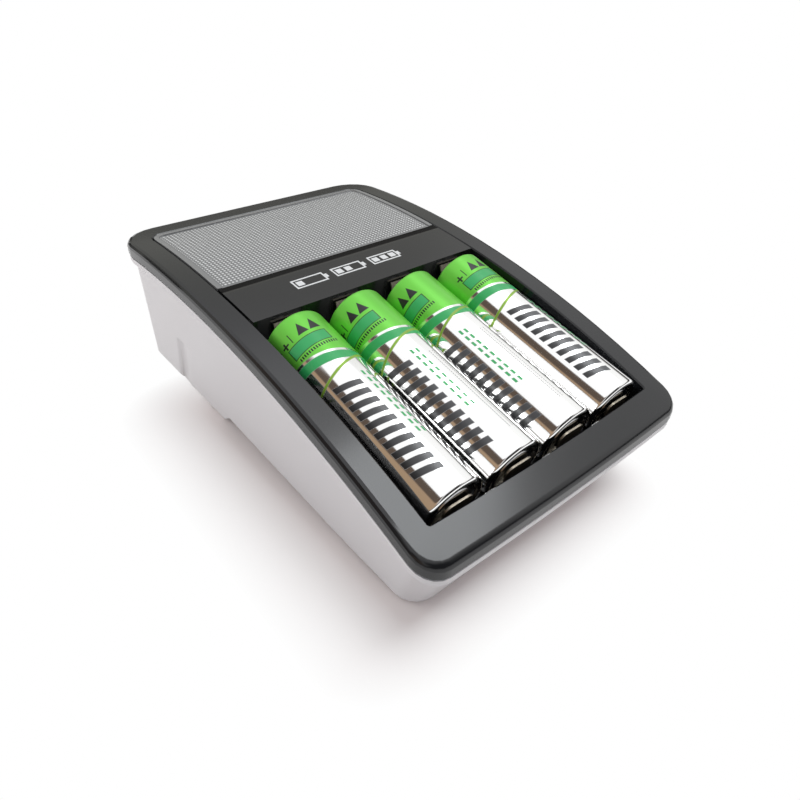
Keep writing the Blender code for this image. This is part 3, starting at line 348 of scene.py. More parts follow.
class CoverSettings(bpy.types.PropertyGroup):
    """Colours of the black cover, tray and panel, and sizes of the panel's print."""
    black: colour("Black", "Cover plastic", (0.012, 0.0125, 0.014))
    tray: colour("Tray", "Tray plastic", (0.010, 0.010, 0.0105))
    dot: colour("Dot", "Raised dots on the panel", (0.76, 0.76, 0.755))
    ground: colour("Ground", "Panel between its dots", (0.185, 0.185, 0.188))
    border: colour("Border", "Plain edge of the panel", (0.22, 0.22, 0.22))
    mark: colour("Mark", "Pictograms on the strip", (0.80, 0.80, 0.80))
    pitch: length("Dot pitch", "Distance between neighbouring dots", 0.00090, 0.0003, 0.003)
    dot_radius: length("Dot radius", "Radius of a dot", 0.00026, 0.0001, 0.001)
    edge: length("Edge", "Width of the panel's plain edge", 0.0016, 0.0, 0.005)


class BodySettings(bpy.types.PropertyGroup):
    """Colours of the housing and of the metal."""
    light: colour("Light", "Housing plastic", (0.71, 0.70, 0.71))
    # The contacts' nickel is darker than bare nickel: partly its tan, partly painted shade for the
    # dark bay round them
    shade_darkened_nickel: colour("Nickel", "Contacts", (0.40, 0.36, 0.29))
    blade: colour("Blade", "Mains prongs", (0.72, 0.71, 0.68))


class StageSettings(bpy.types.PropertyGroup):
    """Lamps, surroundings and floor."""
    key: power("Key", "Power of the overhead lamp on the right", 3.0)
    side: power("Side", "Power of the soft lamp on the right", 0.85)
    rear: power("Rear", "Power of the soft lamp behind on the left", 0.62)
    sky: FloatProperty(name="Sky", description="Strength of the surroundings", default=0.52,
                       min=0.0, max=3.0)
    floor: colour("Floor", "Floor near the charger", (0.93, 0.855, 0.835))
    # Reach of the floor's painted white glow, which thins the charger's shadow
    clear: length("Clear", "Distance from the charger at which the floor shows plain white",
                  0.021, 0.01, 1.0)


def deselect():
    """Leaves edit mode and selects nothing."""
    if bpy.context.object and bpy.context.object.mode != "OBJECT":
        bpy.ops.object.mode_set(mode="OBJECT")
    bpy.ops.object.select_all(action="DESELECT")


def take(thing, name):
    """Names a piece and makes it the only one selected."""
    deselect()
    thing.name = name
    thing.data.name = name
    thing.select_set(True)
    bpy.context.view_layer.objects.active = thing
    return thing


def select_faces(test):
    """In edit mode, selects just the faces that pass a test."""
    select_parts("FACE", lambda mesh: mesh.faces, test)


def select_edges(test):
    """In edit mode, selects just the edges whose two ends pass a test."""
    select_parts("EDGE", lambda mesh: mesh.edges,
                 lambda edge: test(*(vert.co for vert in edge.verts)))


def select_parts(kind, parts, test):
    """In edit mode, selects just the faces or edges that pass a test."""
    bpy.ops.mesh.select_mode(type=kind)
    bpy.ops.mesh.select_all(action="DESELECT")
    data = bpy.context.object.data
    mesh = bmesh.from_edit_mesh(data)
    for part in parts(mesh):
        part.select_set(test(part))
    bmesh.update_edit_mesh(data)


def select_rings(radius):
    """In edit mode, selects the level edges that lie at a radius round the Z axis."""
    def outer(end):
        return abs(math.hypot(end.x, end.y) - radius) < CLOSE

    select_edges(lambda first, last: abs(first.z - last.z) < LEVEL
                 and outer(first) and outer(last))


def smooth(angle=SMOOTH_ANGLE):
    """Shades the active piece smooth over edges up to an angle in degrees."""
    bpy.ops.object.shade_smooth_by_angle(angle=math.radians(angle))


def duplicate(source, name):
    """Copy of a piece with its own mesh, alone and selected."""
    deselect()
    source.select_set(True)
    bpy.context.view_layer.objects.active = source
    bpy.ops.object.duplicate(linked=False)
    return take(bpy.context.object, name)


def smooth_copy(node, name, angle=SMOOTH_ANGLE, flat=0.0):
    """Merged copy of a CAD node, which it stands for, with evened shading.

    Faces that lie within the angle flat of each other, in degrees, become one.
    """
    piece = duplicate(NODES[node], name)
    for key in list(piece.keys()):
        del piece[key]
    piece.parent = None
    bpy.ops.object.mode_set(mode="EDIT")
    bpy.ops.mesh.select_all(action="SELECT")
    bpy.ops.mesh.remove_doubles(threshold=MERGE_DISTANCE)
    if flat:
        bpy.ops.mesh.dissolve_limited(angle_limit=math.radians(flat), delimit={"NORMAL"})
    else:
        bpy.ops.mesh.tris_convert_to_quads(face_threshold=math.radians(QUAD_FLAT),
                                           shape_threshold=math.radians(QUAD_SHAPE))
    bpy.ops.object.mode_set(mode="OBJECT")
    smooth(angle)
    even = piece.modifiers.new("even", "WEIGHTED_NORMAL")
    even.keep_sharp = True
    even.weight = NORMAL_WEIGHT
    bpy.ops.object.modifier_apply(modifier=even.name)
    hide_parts(node)
    return piece


def finish_piece(piece, material, body="charger"):
    """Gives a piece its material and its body."""
    piece.data.materials.clear()
    piece.data.materials.append(material)
    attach(piece, body)


def dress(node, material):
    """Gives a kept CAD node a finish."""
    slots = NODES[node].data.materials
    slots.clear()
    slots.append(material)


def new_material(name, base, roughness, metallic=0.0, coat=0.0):
    """Material with its plain values set on the shader, and its tree and shader."""
    material = bpy.data.materials.new(name)
    material.use_nodes = True
    tree = material.node_tree
    shader = tree.nodes["Principled BSDF"]
    shader.inputs["Base Color"].default_value = (base[0], base[1], base[2], 1.0)
    shader.inputs["Roughness"].default_value = roughness
    shader.inputs["Metallic"].default_value = metallic
    shader.inputs["Coat Weight"].default_value = coat
    return material, tree, shader


def add(tree, kind, **values):
    """Node of a kind with some of its settings given."""
    node = tree.nodes.new(kind)
    for key, value in values.items():
        setattr(node, key, value)
    return node


def feed(tree, socket, value):
    """Links a socket to another, or sets a number or colour on it."""
    if isinstance(value, bpy.types.NodeSocket):
        tree.links.new(value, socket)
    elif isinstance(value, (int, float)):
        socket.default_value = value
    else:
        socket.default_value = (value[0], value[1], value[2], 1.0)


def calculate(tree, operation, first, second=None, clamp=False):
    """Math node; each side is a socket or a number."""
    node = add(tree, "ShaderNodeMath", operation=operation, use_clamp=clamp)
    feed(tree, node.inputs[0], first)
    if second is not None:
        feed(tree, node.inputs[1], second)
    return node.outputs[0]


def plus(tree, first, second):
    """Sum of two numbers."""
    return calculate(tree, "ADD", first, second)


def minus(tree, first, second):
    """First number less the second."""
    return calculate(tree, "SUBTRACT", first, second)


def without(tree, mask, hole):
    """Mask with another cut out of it."""
    return calculate(tree, "SUBTRACT", mask, hole, True)


def chain(tree, operation, parts):
    """One operation over several numbers in turn."""
    total = parts[0]
    for part in parts[1:]:
        total = calculate(tree, operation, total, part)
    return total


def product(tree, *factors):
    """Product of several numbers or masks."""
    return chain(tree, "MULTIPLY", factors)


def either(tree, *masks):
    """Largest of several masks."""
    return chain(tree, "MAXIMUM", masks)


def past(tree, value):
    """A number where it is over zero, and else zero."""
    return calculate(tree, "MAXIMUM", value, 0.0)


def distance(tree, first, second):
    """Distance of a point from the origin, from its two coordinates."""
    squares = plus(tree, product(tree, first, first), product(tree, second, second))
    return calculate(tree, "SQRT", squares)


def mix_colour(tree, share, low, high):
    """Mix of two colours; each is a socket or a colour."""
    node = add(tree, "ShaderNodeMix", data_type="RGBA")
    tree.links.new(share, node.inputs["Factor"])
    ends = [socket for socket in node.inputs if socket.type == "RGBA"]
    feed(tree, ends[0], low)
    feed(tree, ends[1], high)
    return next(socket for socket in node.outputs if socket.type == "RGBA")


def map_value(tree, value, start, end, low, high, smoothed=False):
    """Maps a number from one range to another."""
    kind = "SMOOTHSTEP" if smoothed else "LINEAR"
    node = add(tree, "ShaderNodeMapRange", interpolation_type=kind)
    tree.links.new(value, node.inputs["Value"])
    node.inputs["From Min"].default_value = start
    node.inputs["From Max"].default_value = end
    node.inputs["To Min"].default_value = low
    node.inputs["To Max"].default_value = high
    return node.outputs["Result"]


def above(tree, value, edge, soft):
    """1 over an edge and 0 under it."""
    return map_value(tree, value, edge - soft, edge + soft, 0.0, 1.0, True)


def below(tree, value, edge, soft):
    """1 under an edge and 0 over it."""
    return map_value(tree, value, edge - soft, edge + soft, 1.0, 0.0, True)


def band(tree, value, low, high, soft):
    """1 between two values and 0 outside."""
    return product(tree, above(tree, value, low, soft), below(tree, value, high, soft))


def rectangle(tree, axes, bounds, soft):
    """1 inside a rectangle seen from above, given by its left, right, front and rear bounds."""
    left, right, front, rear = bounds
    return product(tree, band(tree, axes[0], left, right, soft),
                   band(tree, axes[1], front, rear, soft))


def repeat(tree, value, pitch, start=0.0):
    """Place within a repeated step, from 0 to 1."""
    steps = calculate(tree, "DIVIDE", minus(tree, value, start), pitch)
    return calculate(tree, "FRACT", steps)


def object_position(tree):
    """Object coordinates as a vector and as three numbers."""
    place = add(tree, "ShaderNodeTexCoord")
    split = add(tree, "ShaderNodeSeparateXYZ")
    tree.links.new(place.outputs["Object"], split.inputs[0])
    return place.outputs["Object"], split.outputs


def noise(tree, vector, scale, detail=3.0):
    """Noise read from a vector, as a number."""
    node = add(tree, "ShaderNodeTexNoise")
    node.inputs["Scale"].default_value = scale
    node.inputs["Detail"].default_value = detail
    tree.links.new(vector, node.inputs["Vector"])
    return node.outputs["Fac"]


def relief(tree, shader, height, strength, depth):
    """Bump from a height."""
    bump = add(tree, "ShaderNodeBump")
    bump.inputs["Strength"].default_value = strength
    bump.inputs["Distance"].default_value = depth
    tree.links.new(height, bump.inputs["Height"])
    tree.links.new(bump.outputs["Normal"], shader.inputs["Normal"])


def uneven_gloss(tree, shader, vector, roughness, scale=GLOSS_SCALE):
    """Gloss that varies a little from place to place."""
    smear = noise(tree, vector, scale, detail=4.0)
    gloss = map_value(tree, smear, 0.0, 1.0, roughness * (1 - GLOSS_SHARE),
                      roughness * (1 + GLOSS_SHARE))
    tree.links.new(gloss, shader.inputs["Roughness"])


def moulded(name, base, roughness, variation, grain_scale, grain_strength):
    """Material with uneven gloss and a fine grain.

    Also gives its tree, shader, object coordinates and the colour that drifts a little.
    """
    material, tree, shader = new_material(name, base, roughness)
    vector, axes = object_position(tree)
    dark = [channel * (1 - variation) for channel in base[:3]]
    drifting = mix_colour(tree, noise(tree, vector, DRIFT_SCALE, detail=2.0), dark, base)
    uneven_gloss(tree, shader, vector, roughness)
    grain = noise(tree, vector, grain_scale, detail=2.0)
    relief(tree, shader, grain, grain_strength, GRAIN_DEPTH)
    return material, tree, shader, axes, drifting


def plastic(name, base, roughness, variation, grain_scale=GRAIN_SCALE, grain_strength=0.05):
    """Moulded plastic of one colour."""
    material, tree, shader, _, drifting = moulded(name, base, roughness, variation, grain_scale,
                                                  grain_strength)
    tree.links.new(drifting, shader.inputs["Base Color"])
    return material


def metal(name, base, roughness, scratch=SCRATCH_SCALE):
    """Plated sheet: fine drawn lines in its gloss and a faint stain."""
    material, tree, shader = new_material(name, base, roughness, 1.0)
    vector, _ = object_position(tree)
    stretch = add(tree, "ShaderNodeMapping")
    stretch.inputs["Scale"].default_value = (scratch * DRAWN_STRETCH, scratch, scratch)
    tree.links.new(vector, stretch.inputs["Vector"])
    lines = noise(tree, stretch.outputs["Vector"], 1.0)
    gloss = map_value(tree, lines, 0.0, 1.0, roughness * DRAWN_GLOSS[0],
                      roughness * DRAWN_GLOSS[1])
    tree.links.new(gloss, shader.inputs["Roughness"])
    stain = noise(tree, vector, STAIN_SCALE, detail=2.0)
    dark = [channel * STAIN_SHADE for channel in base[:3]]
    tree.links.new(mix_colour(tree, stain, dark, base), shader.inputs["Base Color"])
    return material


class CHARGER_OT_housing(bpy.types.Operator):
    """Light housing with its finish"""
    bl_idname = "charger.housing"
    bl_label = "Housing"

    def execute(self, context):
        body = context.scene.charger_body
        shell = smooth_copy("lower_housing", "housing_shell", SMOOTH_ANGLE, HOUSING_FLAT)
        finish = plastic("light_housing", body.light, roughness=0.40, variation=0.03,
                         grain_scale=3200.0, grain_strength=0.08)
        finish_piece(shell, finish)
        return {"FINISHED"}


class CHARGER_OT_cover(bpy.types.Operator):
    """Black cover, and the tray with its pictograms"""
    bl_idname = "charger.cover"
    bl_label = "Cover and tray"

    def execute(self, context):
        cover = context.scene.charger_cover
        skin = smooth_copy("top_bezel", "cover_skin", COVER_SMOOTH_ANGLE)
        gloss = plastic("gloss_cover", cover.black, roughness=0.18, variation=0.1,
                        grain_scale=2200.0, grain_strength=0.03)
        finish_piece(skin, gloss)
        tray = smooth_copy("battery_tray", "tray_skin", COVER_SMOOTH_ANGLE)
        finish_piece(tray, tray_material(cover))
        return {"FINISHED"}


def tray_material(cover):
    """Semi-gloss black plastic with three small battery pictograms printed on the strip."""
    material, tree, shader, axes, drifting = moulded(
        "tray_black", cover.tray, roughness=0.20, variation=0.1, grain_scale=2200.0,
        grain_strength=0.03)
    marks = [battery_mark(tree, axes, start, bars)
             for start, bars in zip(MARK_STARTS, MARK_BARS)]
    printed = product(tree, either(tree, *marks), above(tree, axes[2], STRIP_LEVEL, STRIP_SOFT))
    tree.links.new(mix_colour(tree, printed, drifting, cover.mark), shader.inputs["Base Color"])
    return material


def battery_mark(tree, axes, start, bars):
    """Outline of a battery with a number of charge bars."""
    line = MARK_LINE
    end = start + MARK_LENGTH
    low = MARK_MIDDLE - MARK_HEIGHT / 2
    high = MARK_MIDDLE + MARK_HEIGHT / 2
    outside = rectangle(tree, axes, (start, end, low, high), MARK_SOFT)
    inside = rectangle(tree, axes, (start + line, end - line, low + line, high - line), MARK_SOFT)
    nub = rectangle(tree, axes, (end, end + MARK_NUB, MARK_MIDDLE - MARK_NUB,
                                 MARK_MIDDLE + MARK_NUB), MARK_SOFT)
    step = (MARK_LENGTH - 2 * line) / MARK_STEPS
    filled = rectangle(tree, axes, (start + line, start + line + step * bars, low + 2 * line,
                                    high - 2 * line), MARK_SOFT)
    split = band(tree, repeat(tree, axes[0], step, start + line), *MARK_BAR_FILL)
    return either(tree, without(tree, outside, inside), nub, product(tree, filled, split))


class CHARGER_OT_panel(bpy.types.Operator):
    """Grey panel with its grid of raised dots"""
    bl_idname = "charger.panel"
    bl_label = "Dotted panel"

    def execute(self, context):
        cover = context.scene.charger_cover
        panel = smooth_copy("display_panel", "panel_skin", COVER_SMOOTH_ANGLE)
        finish_piece(panel, panel_material(cover))
        return {"FINISHED"}


def panel_material(cover):
    """Dots in straight rows, each raised and pale, inside a plain edge."""
    low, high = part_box("display_panel")
    material, tree, shader = new_material("dotted_panel", cover.ground, PANEL_ROUGHNESS, 0.0,
                                          PANEL_COAT)
    shader.inputs["Coat Roughness"].default_value = PANEL_COAT_ROUGHNESS
    vector, axes = object_position(tree)
    front = low[1] + cover.edge * PANEL_START_SHARE
    across = minus(tree, repeat(tree, axes[0], cover.pitch), 0.5)
    along = minus(tree, repeat(tree, axes[1], cover.pitch, front), 0.5)
    reach = distance(tree, across, along)
    radius = cover.dot_radius / cover.pitch
    dotted = rectangle(tree, axes, (low[0] + cover.edge, high[0] - cover.edge, front,
                                    high[1] - cover.edge), PANEL_SOFT)
    dot = product(tree, below(tree, reach, radius, DOT_SOFT), dotted)
    edge = cover.edge * PANEL_FIELD_SHARE
    field = product(tree, band(tree, axes[0], low[0] + edge, high[0] - edge, PANEL_SOFT),
                    below(tree, axes[1], high[1] - edge, PANEL_SOFT))
    ground = mix_colour(tree, field, cover.border, cover.ground)
    tree.links.new(mix_colour(tree, dot, ground, cover.dot), shader.inputs["Base Color"])
    uneven_gloss(tree, shader, vector, PANEL_ROUGHNESS, PANEL_GLOSS_SCALE)
    dome = below(tree, reach, radius * DOT_DOME[0], radius * DOT_DOME[1])
    relief(tree, shader, product(tree, dome, dotted), DOT_RELIEF, DOT_RISE)
    return material


class CHARGER_OT_cells(bpy.types.Operator):
    """Four round cells, each a printed sleeve on a steel can"""
    bl_idname = "charger.cells"
    bl_label = "Cells"

    def execute(self, context):
        cells = context.scene.charger_cells
        finishes = (sleeve_material(cells),
                    metal("cell_steel", CAN_STEEL, roughness=0.16, scratch=700.0),
                    plastic("nub_collar", PAPER, roughness=0.5, variation=0.05))
        models = (build_sleeve(cells), build_can(cells), build_collar())
        for number, node in enumerate(CELL_NAMES):
            place = Matrix.Translation(cell_place(node))
            turn = place @ Matrix.Rotation(CELL_TILT - math.pi / 2, 4, "X")
            pieces = [duplicate(model, f"{model.name}_{number + 1}") for model in models]
            turn_print(pieces[0], PRINT_TURNS[number])
            for piece, finish in zip(pieces, finishes):
                piece.data.transform(turn)
                finish_piece(piece, finish)
            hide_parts(node)
        for model in models:
            bpy.data.objects.remove(model)
        return {"FINISHED"}


def cell_place(node):
    """Middle of a cell's front end."""
    low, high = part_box(node)
    return (low[0] + high[0]) / 2, CELL_FRONT_Y, CELL_FRONT_Z


def stand_cylinder(name, radius, low, high, facets):
    """Upright cylinder between two heights, in edit mode."""
    bpy.ops.mesh.primitive_cylinder_add(vertices=facets, radius=radius, depth=high - low,
                                        end_fill_type="NGON", location=(0, 0, (low + high) / 2))
    piece = take(bpy.context.object, name)
    bpy.ops.object.transform_apply(location=True, rotation=True, scale=True)
    bpy.ops.object.mode_set(mode="EDIT")
    return piece


def select_ends():
    """In edit mode, selects the level faces of a cylinder."""
    select_faces(lambda face: abs(face.normal.z) > FLAT_NORMAL)


def build_sleeve(cells):
    """Standing sleeve, rounded at both ends and folded over them."""
    sleeve = stand_cylinder("sleeve", CELL_RADIUS, 0.0, CELL_LENGTH, cells.facets)
    select_ends()
    bpy.ops.mesh.inset(thickness=cells.fold, use_boundary=True)
    bpy.ops.mesh.delete(type="FACE")
    select_rings(CELL_RADIUS)
    bpy.ops.mesh.bevel(offset=SLEEVE_ROUND, segments=SLEEVE_ROUND_STEPS, profile=0.5)
    bpy.ops.object.mode_set(mode="OBJECT")
    wall = sleeve.modifiers.new("film", "SOLIDIFY")
    wall.thickness = SLEEVE_WALL
    wall.offset = -1.0
    bpy.ops.object.modifier_apply(modifier=wall.name)
    smooth(SLEEVE_SMOOTH_ANGLE)
    unwrap_sleeve(sleeve)
    return sleeve


def build_can(cells):
    """Standing can with a stepped flat end below and a raised nub above."""
    inner = CELL_RADIUS - CAN_GAP
    can = stand_cylinder("can", inner, CAN_GAP, CELL_LENGTH - CAN_GAP, cells.facets)
    shape_end(-1.0, CAN_FRONT)
    shape_end(1.0, CAN_REAR)
    select_rings(inner)
    bpy.ops.mesh.bevel(offset=CAN_ROUND, segments=CAN_ROUND_STEPS, profile=0.5)
    bpy.ops.object.mode_set(mode="OBJECT")
    smooth()
    return can


def shape_end(side, steps):
    """In edit mode, insets one end of a can and moves each new face along the axis."""
    select_faces(lambda face: face.normal.z * side > FLAT_NORMAL
                 and len(face.verts) > ROUND_CORNERS)
    for width, lift in steps:
        bpy.ops.mesh.inset(thickness=width, use_boundary=True)
        if lift:
            bpy.ops.transform.translate(value=(0, 0, lift))


def build_collar():
    """Pale paper washer round the nub, with a hole through its middle."""
    top = CELL_LENGTH - COLLAR_DEPTH
    collar = stand_cylinder("collar", CELL_RADIUS - COLLAR_INSET, top - COLLAR_THICKNESS, top,
                            COLLAR_FACETS)
    select_ends()
    bpy.ops.mesh.inset(thickness=COLLAR_WIDTH, use_boundary=True)
    bpy.ops.mesh.bridge_edge_loops()
    bpy.ops.object.mode_set(mode="OBJECT")
    smooth()
    return collar


def unwrap_sleeve(sleeve):
    """Map of the sleeve: across in turns from its top, up in shares of its length."""
    layer = sleeve.data.uv_layers.active or sleeve.data.uv_layers.new(name="wrap")
    for polygon in sleeve.data.polygons:
        middle = math.atan2(polygon.center.y, polygon.center.x)
        for index in polygon.loop_indices:
            point = sleeve.data.vertices[sleeve.data.loops[index].vertex_index].co
            turn = math.atan2(point.y, point.x)
            turn += math.tau * round((middle - turn) / math.tau)
            layer.data[index].uv = (turn / math.tau + 0.25, point.z / CELL_LENGTH)


def turn_print(sleeve, degrees):
    """Turns the print on one sleeve."""
    for corner in sleeve.data.uv_layers.active.data:
        corner.uv.x -= degrees / FULL_TURN


def sleeve_material(cells):
    """Metallic foil printed with a lime rear end, rings, a block, bars and rows of dashes; the
    bars carry a painted sheen, lighter towards the top.
    """
    material, tree, shader = new_material("printed_sleeve", cells.foil, FOIL_ROUGHNESS,
                                          FOIL_METALLIC)
    up, angle = unrolled(tree)
    lime, ring, thin = rings(tree, up, angle)
    block = patch(tree, up, angle, FRAME_INSIDE)
    dark = dark_marks(tree, up, angle, block)
    bars, dashes, fine = long_marks(tree, up, angle)

    # Painted sheen: the bars go from ink to grey towards the sleeve's top
    bar_sheen = map_value(tree, angle, *BAR_SHEEN_SPAN, 0.0, 1.0)
    sheened_bar_ink = mix_colour(tree, bar_sheen, cells.ink, BAR_SHEEN_GREY)
    now = mix_colour(tree, lime, cells.foil, cells.lime)
    now = mix_colour(tree, either(tree, ring, block, dashes), now, cells.teal)
    now = mix_colour(tree, thin, now, cells.olive)
    now = mix_colour(tree, bars, now, sheened_bar_ink)
    now = mix_colour(tree, dark, now, cells.ink)
    now = mix_colour(tree, fine, now, FINE_GREY)
    tree.links.new(now, shader.inputs["Base Color"])

    printed = either(tree, lime, ring, thin, dashes, bars, dark, fine)
    opaque = either(tree, ring, block, dashes, bars, dark, fine)
    metallic = map_value(tree, printed, 0.0, 1.0, FOIL_METALLIC, PRINT_METALLIC)
    metallic = minus(tree, metallic, product(tree, opaque, OPAQUE_LOSS))
    tree.links.new(metallic, shader.inputs["Metallic"])
    roughness = map_value(tree, printed, 0.0, 1.0, FOIL_ROUGHNESS, PRINT_ROUGHNESS)
    tree.links.new(roughness, shader.inputs["Roughness"])
    return material


def unrolled(tree):
    """Height up the sleeve in shares of its length, and the angle from its top in degrees."""
    wrap = add(tree, "ShaderNodeUVMap")
    split = add(tree, "ShaderNodeSeparateXYZ")
    tree.links.new(wrap.outputs["UV"], split.inputs[0])
    turns = calculate(tree, "FRACT", plus(tree, split.outputs[0], 0.5))
    return split.outputs[1], product(tree, minus(tree, turns, 0.5), FULL_TURN)


def rings(tree, up, angle):
    """Lime rear end and the wide ring, whose edges swing one way, and the thin ring's other."""
    swing = calculate(tree, "SINE", calculate(tree, "RADIANS", plus(tree, angle, WAVE_START)))
    level = plus(tree, up, product(tree, swing, WAVE))
    counter = minus(tree, up, product(tree, swing, COUNTER_WAVE))
    return (above(tree, level, LIME_START, SOFT_SLANT), band(tree, level, *RING, SOFT_SLANT),
            band(tree, counter, *THIN_RING, SOFT_SLANT))


def dark_marks(tree, up, angle, block):
    """Frame round the block, row of ticks, plus sign, stroke and arrowheads on the lime end."""
    rail = without(tree, patch(tree, up, angle, FRAME_OUTSIDE), block)
    ticks = product(tree, patch(tree, up, angle, TICKS),
                    band(tree, repeat(tree, angle, TICK_STEP), *TICK_FILL))
    patches = [patch(tree, up, angle, bounds) for bounds in (CROSS_BAR, CROSS_POST, STROKE)]
    arrows = [arrowhead(tree, up, angle, middle) for middle in ARROW_MIDDLES]
    return either(tree, rail, ticks, *patches, *arrows)


def long_marks(tree, up, angle):
    """Slanting bars, slanting dashes with a plain middle, and rows of fine dashes."""
    slant = plus(tree, up, product(tree, angle, SLANT))
    bars = slanting_column(tree, slant, angle, BARS, BAR_STEP, BAR_FILL)
    dashes = slanting_column(tree, slant, angle, DASHES, DASH_STEP, DASH_FILL)
    dashes = without(tree, dashes, band(tree, angle, *DASH_HOLLOW, SOFT_COLUMN))
    fine = product(tree, patch(tree, up, angle, FINE_ROWS),
                   band(tree, repeat(tree, angle, FINE_TURN_STEP), *FINE_TURN_FILL),
                   band(tree, repeat(tree, up, FINE_STEP), *FINE_FILL))
    return bars, dashes, fine


def slanting_column(tree, slant, angle, bounds, step, fill):
    """Column of slanting marks; each takes up a part of its step."""
    low, high, left, right = bounds
    return product(tree, band(tree, repeat(tree, slant, step, low), *fill),
                   band(tree, slant, low, high, SOFT_SLANT),
                   band(tree, angle, left, right, SOFT_COLUMN))


def patch(tree, up, angle, bounds):
    """Rectangle on the unrolled sleeve."""
    low, high, left, right = bounds
    return product(tree, band(tree, up, low, high, SOFT_UP),
                   band(tree, angle, left, right, SOFT_TURN))


def arrowhead(tree, up, angle, middle):
    """Solid arrowhead that points to the rear end."""
    side = calculate(tree, "ABSOLUTE", minus(tree, angle, middle))
    line = plus(tree, up, product(tree, side, ARROW_SLOPE))
    return product(tree, below(tree, line, ARROW_TIP, SOFT_SLANT),
                   above(tree, up, ARROW_BASE, SOFT_UP))


class CHARGER_OT_fittings(bpy.types.Operator):
    """Contacts, prongs, screws and the inner pieces with their finishes"""
    bl_idname = "charger.fittings"
    bl_label = "Fittings"

    def execute(self, context):
        body = context.scene.charger_body
        # Contacts take the darkened nickel, whose darkness is painted shade for the bay they sit
        # in
        shade_darkened_nickel = metal("sheet_nickel", body.shade_darkened_nickel, roughness=0.40)
        brass = metal("sheet_brass", BRASS, roughness=0.3)
        blade = metal("prong_plating", body.blade, roughness=0.24, scratch=300.0)
        steel = metal("screw_plating", SCREW_STEEL, roughness=0.34, scratch=900.0)
        for number in range(1, 5):
            leaf = smooth_copy(f"negative_contact_{number}", f"leaf_{number}")
            round_tongue(leaf)
            finish_piece(leaf, shade_darkened_nickel, f"contact_{number}")
            dress(f"positive_contact_{number}", shade_darkened_nickel)
        for side in ("left", "right"):
            dress(f"prong_{side}", blade)
            dress(f"mains_contact_{side}", brass)
            for place in ("front", "rear", "board"):
                dress(f"{place}_screw_{side}", steel)
        for node, *finish in INNER_FINISHES:
            dress(node, plastic(*finish))
        return {"FINISHED"}


def round_tongue(leaf):
    """Rounds the two corners at the free top of a contact leaf."""
    corners = [vertex.co for vertex in leaf.data.vertices]
    top = max(corner.z for corner in corners) - TONGUE_ZONE
    flanks = (max(corner.x for corner in corners), min(corner.x for corner in corners))
    bpy.ops.object.mode_set(mode="EDIT")
    select_edges(lambda first, last: min(first.z, last.z) > top
                 and any(abs(first.x - flank) < CLOSE and abs(last.x - flank) < CLOSE
                         for flank in flanks))
    bpy.ops.mesh.bevel(offset=TONGUE_ROUND, segments=TONGUE_ROUND_STEPS, profile=0.5)
    bpy.ops.object.mode_set(mode="OBJECT")
    smooth()


class CHARGER_OT_stage(bpy.types.Operator):
    """Pale floor, soft lamps, surroundings and the camera"""
    bl_idname = "charger.stage"
    bl_label = "Studio"

    def execute(self, context):
        settings = context.scene.charger_stage
        build_floor(settings)
        build_world(settings)
        build_lamps(settings)
        build_camera()
        context.scene.view_settings.view_transform = "Standard"
        return {"FINISHED"}


def build_floor(settings):
    """Large pale floor that keeps the charger's shadow near its foot and further out glows plain
    white, a painted light that thins the shadow away.
    """
    bpy.ops.mesh.primitive_plane_add(size=FLOOR_SIZE, location=(0, 0, FLOOR_LEVEL))
    floor = take(bpy.context.object, "floor")
    bpy.ops.object.transform_apply(location=True, rotation=True, scale=True)
    material, tree, shader = new_material("floor_white", settings.floor, FLOOR_ROUGHNESS)
    shader.inputs["Specular IOR Level"].default_value = FLOOR_SPECULAR
    vector, axes = object_position(tree)
    shade = [channel * FLOOR_SHADE for channel in settings.floor[:3]]
    drift = noise(tree, vector, FLOOR_DRIFT_SCALE)
    tree.links.new(mix_colour(tree, drift, shade, settings.floor), shader.inputs["Base Color"])
    # Painted light: for camera and mirror rays the floor glows white, thinning the rendered shadow
    # away from the foot
    path = add(tree, "ShaderNodeLightPath")
    seen = either(tree, path.outputs["Is Camera Ray"], path.outputs["Is Glossy Ray"],
                  path.outputs["Is Transmission Ray"])
    painted_white_glow = add(tree, "ShaderNodeEmission").outputs[0]
    share = product(tree, painted_glow_share(tree, axes, settings.clear), seen)
    surface = mix_shader(tree, share, shader.outputs[0], painted_white_glow)
    tree.links.new(surface, tree.nodes["Material Output"].inputs["Surface"])
    floor.data.materials.append(material)


def painted_glow_share(tree, axes, clear):
    """Share of the floor's painted white glow: 0 at the charger's foot and 1 where this painted
    light has covered its shadow.
    """
    left = past(tree, minus(tree, FOOT_LEFT, axes[0]))
    front = product(tree, past(tree, minus(tree, FOOT_FRONT, axes[1])), THIN_FRONT_RATE)
    right = past(tree, minus(tree, axes[0], THIN_RIGHT))
    rear = past(tree, minus(tree, axes[1], THIN_REAR))
    beside = plus(tree, left, product(tree, right, right, THIN_RIGHT_RATE))
    beyond = plus(tree, front, product(tree, rear, rear, THIN_REAR_RATE))
    reach = distance(tree, beside, beyond)
    far = map_value(tree, reach, THIN_START, clear, 0.0, 1.0)
    return calculate(tree, "POWER", far, THIN_CURVE)


def ramp(tree, value, stops):
    """Colour ramp with given stops."""
    node = add(tree, "ShaderNodeValToRGB")
    tree.links.new(value, node.inputs["Fac"])
    elements = node.color_ramp.elements
    elements[1].position = stops[-1][0]
    elements[1].color = (*stops[-1][1], 1.0)
    elements[0].position = stops[0][0]
    elements[0].color = (*stops[0][1], 1.0)
    for place, shade in stops[1:-1]:
        elements.new(place).color = (*shade, 1.0)
    return node.outputs["Color"]


